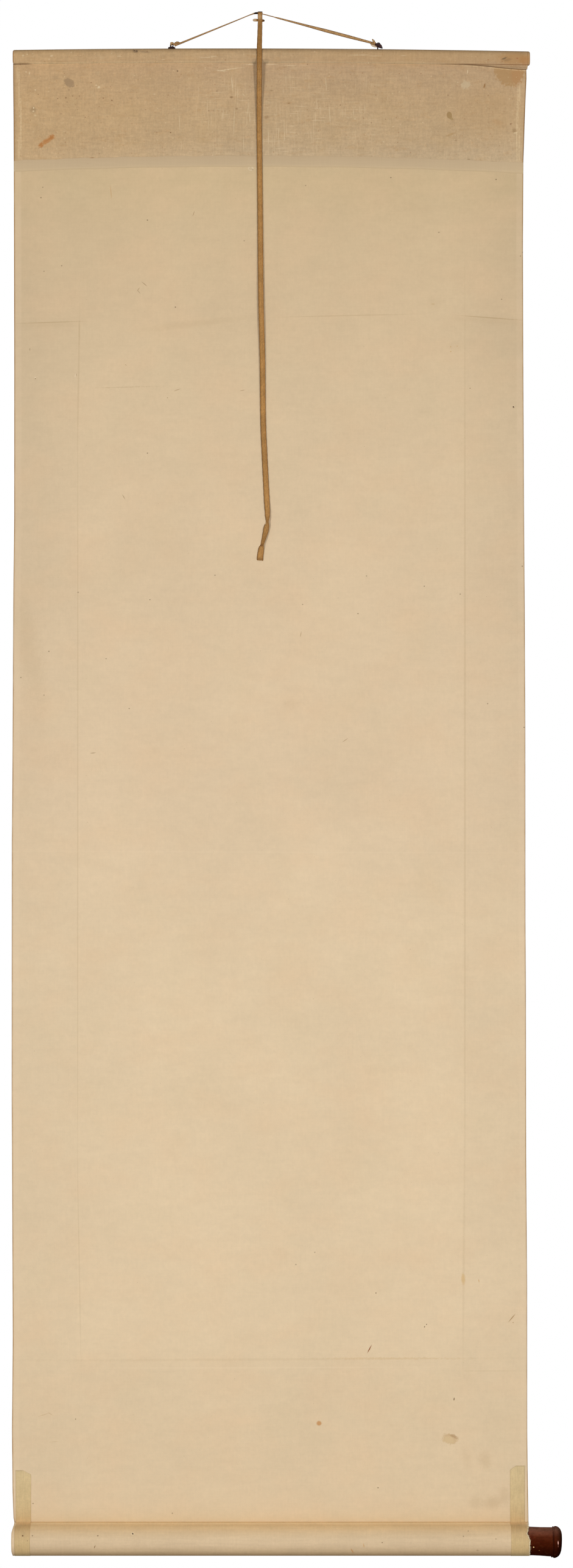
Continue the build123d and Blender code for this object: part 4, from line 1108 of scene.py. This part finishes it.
# The ribbon's turn over the cord, with the ends of its cross turn at both sides
ribbonLoop = {
    "band": [
        (1.6, -1.9, -9.6), (1.6, -2.3, -5.6), (1.4, -2.1, -1.4), (1.5, -1.7, 2.1), (1.6, 0.0, 3.3),
        (1.6, 1.7, 2.1), (1.6, 2.1, -1.4), (1.5, 2.2, -5.4), (1.5, 0.6, -8.2), (1.6, -0.9, -8.0),
    ],
    "leftEar": [
        (0.6, 0.6, -6.6), (-3.2, -0.2, -5.9), (-6.2, -0.5, -6.2),
        (-6.1, -0.6, -7.7), (-3.2, -0.4, -7.7), (0.6, 0.2, -7.4),
    ],
    "rightEar": [
        (1.6, 0.6, -6.4), (4.4, -0.2, -6.6), (6.3, -0.5, -7.2),
        (6.0, -0.4, -8.0), (4.0, -0.3, -8.2), (1.8, 0.2, -7.6),
    ],
    "width": 5.3,
    "thick": 0.7,
    "ears": {"leftEar": (1.65, 1.2), "rightEar": (1.6, 1.3)},
}
bandLine = smoothLine(ribbonLoop["band"], 0.35)
loopParts = ([], [], [])
bandWidths, bandRolls = [ribbonLoop["width"]] * len(bandLine), [0.0] * len(bandLine)
addRibbon(loopParts, bandLine, bandWidths, bandRolls, ribbonLoop["thick"], tieRibbon["ribs"])
for ear, (wide, thick) in ribbonLoop["ears"].items():
    addStrand(loopParts, smoothLine(ribbonLoop[ear], 0.3), wide, thick)
loopPiece = pieceFromPoints("tie_ribbon_turn", *loopParts[:2], ribbonLook, loopParts[2])
turnOutward(loopPiece)
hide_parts("tie_ribbon_loop")

# Sheet: its true edges, from places in the picture, going down
def seenLine(*places):
    return [seen(*place) for place in places]


leftEdge = seenLine(
    (21.2, 84), (21.3, 124), (22, 190), (22.4, 310), (23, 610), (23, 850), (21.7, 970), (21, 1090),
    (20, 1270), (19.2, 1380), (19, 1800), (19.8, 2000), (20.2, 2110), (20.6, 2200), (19.3, 2350),
    (20.2, 2450), (22, 2496), (23.6, 2503), (22, 2508), (20.4, 2514), (20.2, 2530), (20.4, 2544),
    (22, 2552),
)
rightEdge = seenLine(
    (864.5, 84), (865, 124), (862, 190), (860, 250), (859.2, 400), (860, 640), (861, 850),
    (862.2, 1000), (863, 1200), (863.2, 1510), (864, 1620), (864.5, 1900), (866, 2110), (866.2, 2350),
    (867.2, 2430), (868.2, 2500),
)
tornEdge = seenLine(
    (868.4, 2503), (867.4, 2504.5), (866.6, 2508), (865.6, 2511), (864.6, 2515), (866.2, 2517.5),
    (867.8, 2521), (869.4, 2525), (868.8, 2533), (869.2, 2540), (868.6, 2546), (868.9, 2553),
)


def sideAt(side, height):
    return float(np.interp(height, [point[1] for point in side][::-1], [point[0] for point in side][::-1]))


def leftAt(height):
    return sideAt(leftEdge, height)


def rightAt(height):
    return sideAt(rightEdge, height)


# How far the hanging sheet waves in and out, least at the stave, at the roller and behind the ribbon
def wave(x, z):
    fade = smooth(-190, -340, z) * smooth(-1750, -1640, z)
    ripple = np.sin(x / 95 + z / 210) + 0.6 * np.sin(x / 47 - z / 160 + 1.3) + 0.5 * np.sin(z / 88 + x / 300)
    behindRibbon = np.maximum(smooth(12, 70, np.abs(x - 4)), smooth(-650, -700, z))
    return 0.75 * fade * ripple * (0.35 + 0.65 * behindRibbon)


def aroundRoller(radius, degrees):
    turn = math.radians(degrees)
    return roller["y"] + radius * math.cos(turn), roller["z"] + radius * math.sin(turn)


def downPath(y, top, foot, gap=6.0):
    count = max(2, round(abs(top - foot) / gap))
    return [(y, top + (foot - top) * step / count) for step in range(count + 1)]


def bowDrop(x):
    return -((x - stave["apex"]) ** 2) / (2 * stave["bow"])


# The sheet's top rows follow the bowed stave
def underBow(xs, z):
    return bowDrop(xs) * smooth(-115, -60, z)


# A sheet along a path of (depth, height) places, between its edges; columns stand close near the edges
def hungSheet(
    name, path, leftAt, rightAt, thick, material, columns,
    backFaces=True, waving=True, close=8.0, drop=underBow,
):
    steps, rim = np.linspace(0, 1, columns), 0.12
    rows, measures, reach = [], [], 0.0
    for index, (y, z) in enumerate(path):
        if index:
            reach += math.dist(path[index - 1], (y, z))
        left, right = leftAt(z), rightAt(z)
        near = min(2 * close / (right - left), rim)
        xs = left + (right - left) * np.interp(steps, [0, rim, 1 - rim, 1], [0, near, 1 - near, 1])
        push = wave(xs, np.full(columns, z)) if waving else np.zeros(columns)
        rows.append(np.stack([xs, y + push, z + drop(xs, z)], axis=1))
        measures.append(np.stack([xs - left, right - xs, np.full(columns, reach)], axis=1))
    points, measures = np.concatenate(rows), np.concatenate(measures)
    faces = gridFaces(len(path), columns)
    if backFaces:
        faces = [face[::-1] for face in faces]
    uvs = np.stack([points[:, 0], measures[:, 2]], axis=1) * mm
    piece = pieceFromPoints(name, points, faces, material, uvs)
    addMeasures(piece, {"fromLeft": measures[:, 0], "fromRight": measures[:, 1], "fromTop": measures[:, 2]})
    wall = piece.modifiers.new("wall", "SOLIDIFY")
    wall.thickness = thick * mm
    wall.offset = -1
    return piece


backPath = downPath(sheet["back"], sheet["top"] - sheet["tuck"], roller["z"])
backPath += [aroundRoller(roller["radius"], -degrees) for degrees in range(6, 91, 6)]
backingPiece = hungSheet("backing_paper", backPath, leftAt, rightAt, sheet["stock"], backingLook, 120)
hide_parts("backing_sheet")


def panelLeft(z):
    return panel["left"]


def panelRight(z):
    return panel["right"]


def frontSheet(name, node, sides, path, material, columns):
    piece = hungSheet(name, path, *sides, sheet["frontStock"], material, columns, backFaces=False)
    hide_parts(node)


besidePanel = downPath(sheet["front"], panel["top"], panel["foot"])
abovePanel = downPath(sheet["front"], sheet["top"] - sheet["tuck"], panel["top"])
belowPanel = downPath(sheet["front"], panel["foot"], roller["z"])
belowPanel += [aroundRoller(roller["radius"] + 0.6, -degrees) for degrees in range(6, 91, 6)]
frontSheet(
    "top_border_silk", "top_border",
    (leftAt, rightAt), abovePanel, borderLook, 120,
)
frontSheet(
    "left_border_silk", "left_border",
    (leftAt, panelLeft), besidePanel, borderLook, 24,
)
frontSheet(
    "right_border_silk", "right_border",
    (panelRight, rightAt), besidePanel, borderLook, 24,
)
frontSheet(
    "panel_paper_bare", "picture_panel",
    (panelLeft, panelRight), besidePanel, panelLook, 90,
)
frontSheet(
    "bottom_border_silk", "bottom_border",
    (leftAt, rightAt), belowPanel, borderLook, 120,
)
print("sheet hung")

# Pocket paper over the roller, torn at its right end
pocketStock = 0.5
jags = np.random.default_rng(7).uniform(-0.4, 0.4, 90)


def tornAt(z):
    return sideAt(tornEdge, z) + float(np.interp(-z, np.linspace(1756, 1796, len(jags)), jags))


crease = sheet["crease"]
pocketPath = [(sheet["back"], crease), (-1.0, crease - 0.55), (-6.5, crease - 1.15)]
pocketPath += [aroundRoller(roller["radius"] + pocketStock, degrees) for degrees in range(96, 271, 3)]
pocketPiece = hungSheet(
    "pocket_paper", pocketPath, leftAt, tornAt, pocketStock, pocketLook, 120, waving=False
)
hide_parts("roller_pocket")

# Loose fibres along the torn end
fray = {"fibres": 70, "long": 2.2, "thick": 0.09, "inset": 0.6, "clear": 0.45, "lean": 0.7}
rng = np.random.default_rng(11)
fibreParts = ([], [], [])
for index in range(fray["fibres"]):
    y, z = aroundRoller(roller["radius"] + fray["clear"], rng.uniform(98, 258))
    root = np.array([tornAt(z) - fray["inset"], y, z])
    lean = rng.uniform(-fray["lean"], fray["lean"])
    long = fray["long"] * rng.uniform(0.35, 1.0)
    tip = root + np.array([long * math.cos(lean), rng.uniform(-0.5, 0.3), long * math.sin(lean)])
    bend = (root + tip) / 2 + rng.uniform(-0.4, 0.4, 3)
    addStrand(fibreParts, smoothLine([root, bend, tip], 0.5), fray["thick"], fray["thick"], 4)
fibrePiece = pieceFromPoints("torn_fibres", *fibreParts[:2], pocketLook, fibreParts[2])
turnOutward(fibrePiece)

# Patches at the roller's ends, their upper inner corners cut off
patch = {
    "left": {"from": -283.3, "to": -265.3, "top": -1696.7, "fall": 5.0, "share": 1.0},
    "right": {"from": 292.9, "to": 310.0, "top": -1691.3, "fall": 4.3, "share": 0.77},
    "depth": 3.84,
    "foot": -1755.5,
    "fold": [(3.5, -1756.5), (-1.0, -1757.0), (-6.5, -1757.6)],
    "frayTop": -1757,
    "cut": 9.6,
    "radius": 17.82,
    "stock": 0.12,
}


def patchPath(top):
    path = downPath(patch["depth"], top, patch["foot"], 2.5) + patch["fold"]
    return path + [aroundRoller(patch["radius"], degrees) for degrees in range(96, 263, 3)]


def cornerCut(side, z):
    spec = patch[side]
    return patch["cut"] * max(0.0, 1 - (spec["top"] - z) / spec["fall"]) * spec["share"]


def leftPatchInner(z):
    return patch["left"]["to"] - cornerCut("left", z)


def rightPatchInner(z):
    return patch["right"]["from"] + cornerCut("right", z)


# the right patch is frayed where it lies on the torn end
def rightPatchOuter(z):
    if z > patch["frayTop"]:
        return patch["right"]["to"]
    return tornAt(z) - 1.1 + float(np.interp(-z, np.linspace(1755, 1796, len(frayJags)), frayJags))


frayJags = np.random.default_rng(5).uniform(-0.5, 0.5, 60)
for side, leftSide, rightSide, flat in (
    ("left", lambda z: patch["left"]["from"], leftPatchInner, (0.018, 0.130)),
    ("right", rightPatchInner, rightPatchOuter, (0.018, 0.135)),
):
    name, path = side + "_patch_silk", patchPath(patch[side]["top"])
    piece = hungSheet(
        name, path, leftSide, rightSide, patch["stock"], patchLook, 20, waving=False, close=1.0
    )
    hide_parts(side + "_patch")
print("roller covered")

# Lining strip under the silk's foot, a little lower at both ends as the silk is
def flapSlope(x):
    share = (x - 13) / 299
    return -7.0 * share**2 - 1.2 * share


liningStrip = {"depth": 3.93, "top": -150.0, "foot": -177.2, "inset": 0.05, "stock": 0.05}
liningPiece = hungSheet(
    "lining_strip",
    downPath(liningStrip["depth"], liningStrip["top"], liningStrip["foot"], 3.0),
    lambda z: leftAt(z) + liningStrip["inset"],
    lambda z: rightAt(z) - liningStrip["inset"],
    liningStrip["stock"],
    liningLook,
    90,
    waving=False,
    drop=lambda xs, z: flapSlope(xs) + 0.2 * np.sin(xs / 13),
)
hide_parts("silk_lining")

# Protective silk: wrapped round the stave, then down the back as a flap
coverSilk = {
    "left": -286.45,
    "right": 315.75,
    "flapLeft": -285.8,
    "flapRight": 311.5,
    "clear": 0.25,
    "curve": 6.25,
    "sag": 4.4,
    "face": 3.6,
    "foot": -164.2,
    "footDepth": 3.84,
    "inside": 3.94,
    "fitLeft": -250,
    "fitRight": 270,
    "inset": 0.1,
    "turnIn": 2.6,
}


def creaseSag(x):
    return coverSilk["sag"] * smooth(236, 312, x) * smooth(313.6, 312.6, x)


def creaseHeight(x):
    return stave["top"] - stave["height"] - coverSilk["clear"] + bowDrop(x) - creaseSag(x)


def staveRing(x):
    back, top = sheet["back"], stave["top"] + coverSilk["clear"]
    foot = stave["top"] - stave["height"] - coverSilk["clear"]
    curve, sag = coverSilk["curve"], creaseSag(x)
    middle = back - stave["depth"] - coverSilk["clear"] + curve
    ring = [(back, top), (coverSilk["turnIn"], top)]
    for degrees in range(90, 181, 10):
        turn = math.radians(degrees)
        ring.append((middle + curve * math.cos(turn), top - curve + curve * math.sin(turn)))
    for degrees in range(180, 271, 10):
        turn = math.radians(degrees)
        hang = smooth(200, 270, degrees) * sag * 0.6
        ring.append((middle + curve * math.cos(turn), foot + curve + curve * math.sin(turn) - hang))
    ring += [(coverSilk["turnIn"], foot - sag * 0.85), (3.5, foot - sag), (3.98, foot - sag * 0.5)]
    ring += [(back, foot + 2), (back, top - 2)]
    return [(y, z + bowDrop(x)) for y, z in ring]


def shrunk(ring, share):
    middle = np.mean(ring, axis=0)
    return [tuple(middle + (np.array(point) - middle) * share) for point in ring]


# Rings of (depth, height) places at their x, skinned from left to right
def ringSkin(rings):
    points, count = [], len(rings[0][1])
    for x, ring in rings:
        points += [(x, y, z) for y, z in ring]
    return points, tubeFaces(len(rings), count)


endShrink = [(0.0, 0.74), (0.15, 0.83), (0.5, 0.91), (1.1, 0.965), (1.9, 0.992)]
firstX, lastX = coverSilk["left"] + 3, coverSilk["right"] - 2.2
firstRing, lastRing = staveRing(firstX), staveRing(lastX)
staveXs = [np.linspace(firstX, 200, 110), np.linspace(203, 310, 50), np.linspace(310.3, lastX, 14)]
staveRings = [(coverSilk["left"] + inset, shrunk(firstRing, share)) for inset, share in endShrink]
staveRings += [(float(x), staveRing(float(x))) for x in np.concatenate(staveXs)]
staveRings += [(coverSilk["right"] - inset, shrunk(lastRing, share)) for inset, share in endShrink[::-1]]
stavePoints, staveFaces = ringSkin(staveRings)


def flapFoot(x):
    return coverSilk["foot"] + flapSlope(x) + 0.35 * math.sin(x / 9) + 0.25 * math.sin(x / 3.7)


def flapRing(x):
    start, foot = creaseHeight(x), flapFoot(x)
    downs = np.concatenate([np.linspace(start + 0.6, start - 8, 8), np.linspace(start - 12, foot, 30)])
    pucker = 0.5 * smooth(250, 312, x) * np.exp(-((downs - start + 6) ** 2) / 60) * np.sin(x / 7 + downs / 5)
    outer = coverSilk["face"] - 0.25 * np.exp(-((downs - start) ** 2) / 3) - np.abs(pucker)
    outer = outer + (coverSilk["footDepth"] - coverSilk["face"]) * smooth(foot + 14, foot + 2, downs)
    ring = list(zip(outer.tolist(), downs.tolist()))
    return ring + [(3.9, foot - 0.12)] + [(coverSilk["inside"], float(z)) for z in downs[::-4]]


flapXs = [np.linspace(coverSilk["flapLeft"], 200, 100), np.linspace(204, coverSilk["flapRight"], 50)]
flapPoints, flapFaces = ringSkin([(float(x), flapRing(float(x))) for x in np.concatenate(flapXs)])


# The flap's outer columns follow the sheet's true edges
def fitSide(x, z):
    fitLeft, fitRight = coverSilk["fitLeft"], coverSilk["fitRight"]
    flapLeft, flapRight = coverSilk["flapLeft"], coverSilk["flapRight"]
    inset = coverSilk["inset"]
    if x < fitLeft:
        return x + (leftAt(z) + inset - flapLeft) * (fitLeft - x) / (fitLeft - flapLeft)
    if x > fitRight:
        return x + (rightAt(z) - inset - flapRight) * (x - fitRight) / (flapRight - fitRight)
    return x


flapPoints = [(fitSide(x, z), y, z) for x, y, z in flapPoints]
silkPoints = np.array(stavePoints + flapPoints)
silkFaces = staveFaces + [tuple(index + len(stavePoints) for index in face) for face in flapFaces]
silkUvs = silkPoints[:, [0, 2]] * mm
silkPiece = pieceFromPoints("protective_silk_cloth", silkPoints, silkFaces, silkLook, silkUvs)
onStave = np.arange(len(silkPoints)) < len(stavePoints)
besideLeft = [x - leftAt(z) for x, y, z in silkPoints]
besideRight = [rightAt(z) - x for x, y, z in silkPoints]
silkMeasures = {
    "fromLeft": np.where(onStave, silkPoints[:, 0] - coverSilk["left"], besideLeft),
    "fromRight": np.where(onStave, coverSilk["right"] - silkPoints[:, 0], besideRight),
    "fromCrease": silkPoints[:, 2] - np.array([creaseHeight(x) for x in silkPoints[:, 0]]),
    "fromFoot": silkPoints[:, 2] - stave["top"] + stave["height"] - bowDrop(silkPoints[:, 0]),
}
addMeasures(silkPiece, silkMeasures)
turnOutward(silkPiece)
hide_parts("protective_silk")
print("silk folded")

# Knob: turned, lacquered, and drooping in its socket
knob = {
    "place": (311.81, -13.15, -1776.7),
    "droop": 2.292,
    "steps": 128,
    "spigot": [(-20, 0), (-20, 6), (-0.2, 6), (0, 6.2)],
    "body": [(0, 15.9), (0.25, 16.35), (0.7, 16.5), (15, 16.5), (27.8, 16.9)],
    "flange": [(28.6, 16.9), (28.8, 17.6), (29.1, 18.0), (29.6, 18.1), (30.1, 18.0), (30.4, 17.6)],
    "groove": [(30.6, 17.2), (30.8, 17.6), (31.0, 18.1), (31.5, 18.4)],
    "dome": {"start": 31.9, "depth": 8.6, "radius": 18.5, "fullness": 0.56},
    "tip": (40.5, 0),
}


def spun(profile, steps):
    mesh = bmesh.new()
    corners = [mesh.verts.new((x * mm, 0, radius * mm)) for x, radius in profile]
    edges = [mesh.edges.new(pair) for pair in zip(corners, corners[1:])]
    around = {"cent": (0, 0, 0), "axis": (1, 0, 0), "dvec": (0, 0, 0), "angle": 2 * math.pi}
    bmesh.ops.spin(mesh, geom=corners + edges, use_merge=True, steps=steps, **around)
    bmesh.ops.remove_doubles(mesh, verts=mesh.verts, dist=1e-6)
    bmesh.ops.recalc_face_normals(mesh, faces=mesh.faces)
    return mesh


knobProfile = knob["spigot"] + knob["body"] + knob["flange"] + knob["groove"]
dome = knob["dome"]
for degrees in range(4, 87, 4):
    turn = math.radians(degrees)
    along = dome["start"] + dome["depth"] * math.sin(turn)
    knobProfile.append((along, dome["radius"] * math.cos(turn) ** dome["fullness"]))
knobMesh = spun(knobProfile + [knob["tip"]], knob["steps"])
knobPlace = Matrix.Translation(Vector(knob["place"]) * mm)
knobPlace = knobPlace @ Matrix.Rotation(math.radians(knob["droop"]), 4, "Y")
bmesh.ops.transform(knobMesh, matrix=knobPlace, verts=knobMesh.verts)
knobPiece = pieceFromMesh("lacquer_knob", knobMesh, lacquerLook)
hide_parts("right_knob")
print("knob turned")

# Eyelets: a wire eye on a shank, standing in a coned washer
eyelets = {
    "left": {
        "x": -101.4, "centre": -36.43, "foot": -50.6, "seat": -39.68, "tilt": 0.0,
        "washer": 4.35, "dome": 1.2, "wire": 0.6, "lean": 0.0,
    },
    "right": {
        "x": 138.5, "centre": -35.41, "foot": -49.6, "seat": -40.1, "tilt": 23.0,
        "washer": 5.6, "dome": 3.0, "wire": 1.05, "lean": 0.8,
    },
}
eyelet = {
    "ring": 1.55, "shank": 0.85, "hole": 1.6, "stock": 0.9,
    "wireSteps": 12, "ringSteps": 28, "shankSteps": 14, "seatSteps": 40,
}


def eyeletMesh(spec):
    mesh, quarter = bmesh.new(), math.pi / 2
    ringEdge = (eyelet["ring"] * mm, 0, 0)
    circle = bmesh.ops.create_circle(mesh, segments=eyelet["wireSteps"], radius=spec["wire"] * mm)["verts"]
    bmesh.ops.rotate(mesh, verts=circle, cent=(0, 0, 0), matrix=Matrix.Rotation(quarter, 3, "Z"))
    bmesh.ops.translate(mesh, verts=circle, vec=ringEdge)
    edges = list(mesh.edges)
    around = {"cent": (0, 0, 0), "axis": (0, 0, 1), "dvec": (0, 0, 0), "angle": 2 * math.pi}
    bmesh.ops.rotate(mesh, verts=circle, cent=ringEdge, matrix=Matrix.Rotation(quarter, 3, "X"))
    bmesh.ops.spin(mesh, geom=circle + edges, use_merge=True, steps=eyelet["ringSteps"], **around)
    bmesh.ops.rotate(mesh, verts=mesh.verts, cent=(0, 0, 0), matrix=Matrix.Rotation(quarter, 3, "X"))
    eyePlace = ((spec["x"] + spec["lean"]) * mm, 0, spec["centre"] * mm)
    bmesh.ops.translate(mesh, verts=mesh.verts, vec=eyePlace)
    long = spec["centre"] - eyelet["ring"] - spec["foot"]
    shank = {
        "radius1": eyelet["shank"] * mm * 0.6,
        "radius2": eyelet["shank"] * mm,
        "depth": long * mm,
        "matrix": Matrix.Translation(Vector((spec["x"], 0, spec["foot"] + long / 2)) * mm),
    }
    bmesh.ops.create_cone(mesh, cap_ends=True, segments=eyelet["shankSteps"], **shank)
    bmesh.ops.recalc_face_normals(mesh, faces=mesh.faces)
    return mesh


def seatMesh(spec):
    rim, hole, dome, stock = spec["washer"], eyelet["hole"], spec["dome"], eyelet["stock"]
    profile = [(dome, hole), (dome + stock, hole + 0.1), (dome * 0.85 + stock, rim * 0.55)]
    profile += [(stock, rim - 0.1), (stock * 0.5, rim), (0, rim - 0.1), (dome * 0.85, rim * 0.55)]
    mesh = spun(profile + [(dome, hole)], eyelet["seatSteps"])
    tilt = Matrix.Rotation(math.radians(spec["tilt"]), 4, "Y")
    stand = Matrix.Translation(Vector((spec["x"], 0, spec["seat"])) * mm)
    stand = stand @ Matrix.Translation((rim * mm, 0, 0)) @ tilt
    stand = stand @ Matrix.Translation((-rim * mm, 0, 0)) @ Matrix.Rotation(-math.pi / 2, 4, "Y")
    bmesh.ops.transform(mesh, matrix=stand, verts=mesh.verts)
    return mesh


for side, spec in eyelets.items():
    eyePiece = pieceFromMesh(side + "_iron_eye", eyeletMesh(spec), ironLook)
    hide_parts(side + "_eyelet")
    seatPiece = pieceFromMesh(side + "_iron_washer", seatMesh(spec), ironLook)
    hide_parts(side + "_eyelet_seat")
print("eyelets set")

# Solids that show as they are
for name in ("top_stave", "roller_rod"):
    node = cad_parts[name]
    node.data.materials.clear()
    node.data.materials.append(woodLook)

# Floor
floorDisc = {"radius": 1.45, "steps": 96, "place": (0.03, 0, -2.05)}
floorFinish = Finish("floor", roughness=0.9)
floorTone = floorFinish.noise(3, 3, 3)
floorFinish.colour = floorFinish.ramp(floorTone, [(0.0, (228, 227, 225)), (1.0, (231, 230, 228))])
floorMesh = bmesh.new()
bmesh.ops.create_circle(floorMesh, cap_ends=True, segments=floorDisc["steps"], radius=floorDisc["radius"])
bmesh.ops.translate(floorMesh, verts=floorMesh.verts, vec=floorDisc["place"])
floorData = bpy.data.meshes.new("floor")
floorMesh.to_mesh(floorData)
floorMesh.free()
floorData.materials.append(floorFinish.done())
floor = bpy.data.objects.new("floor", floorData)
scene.collection.objects.link(floor)
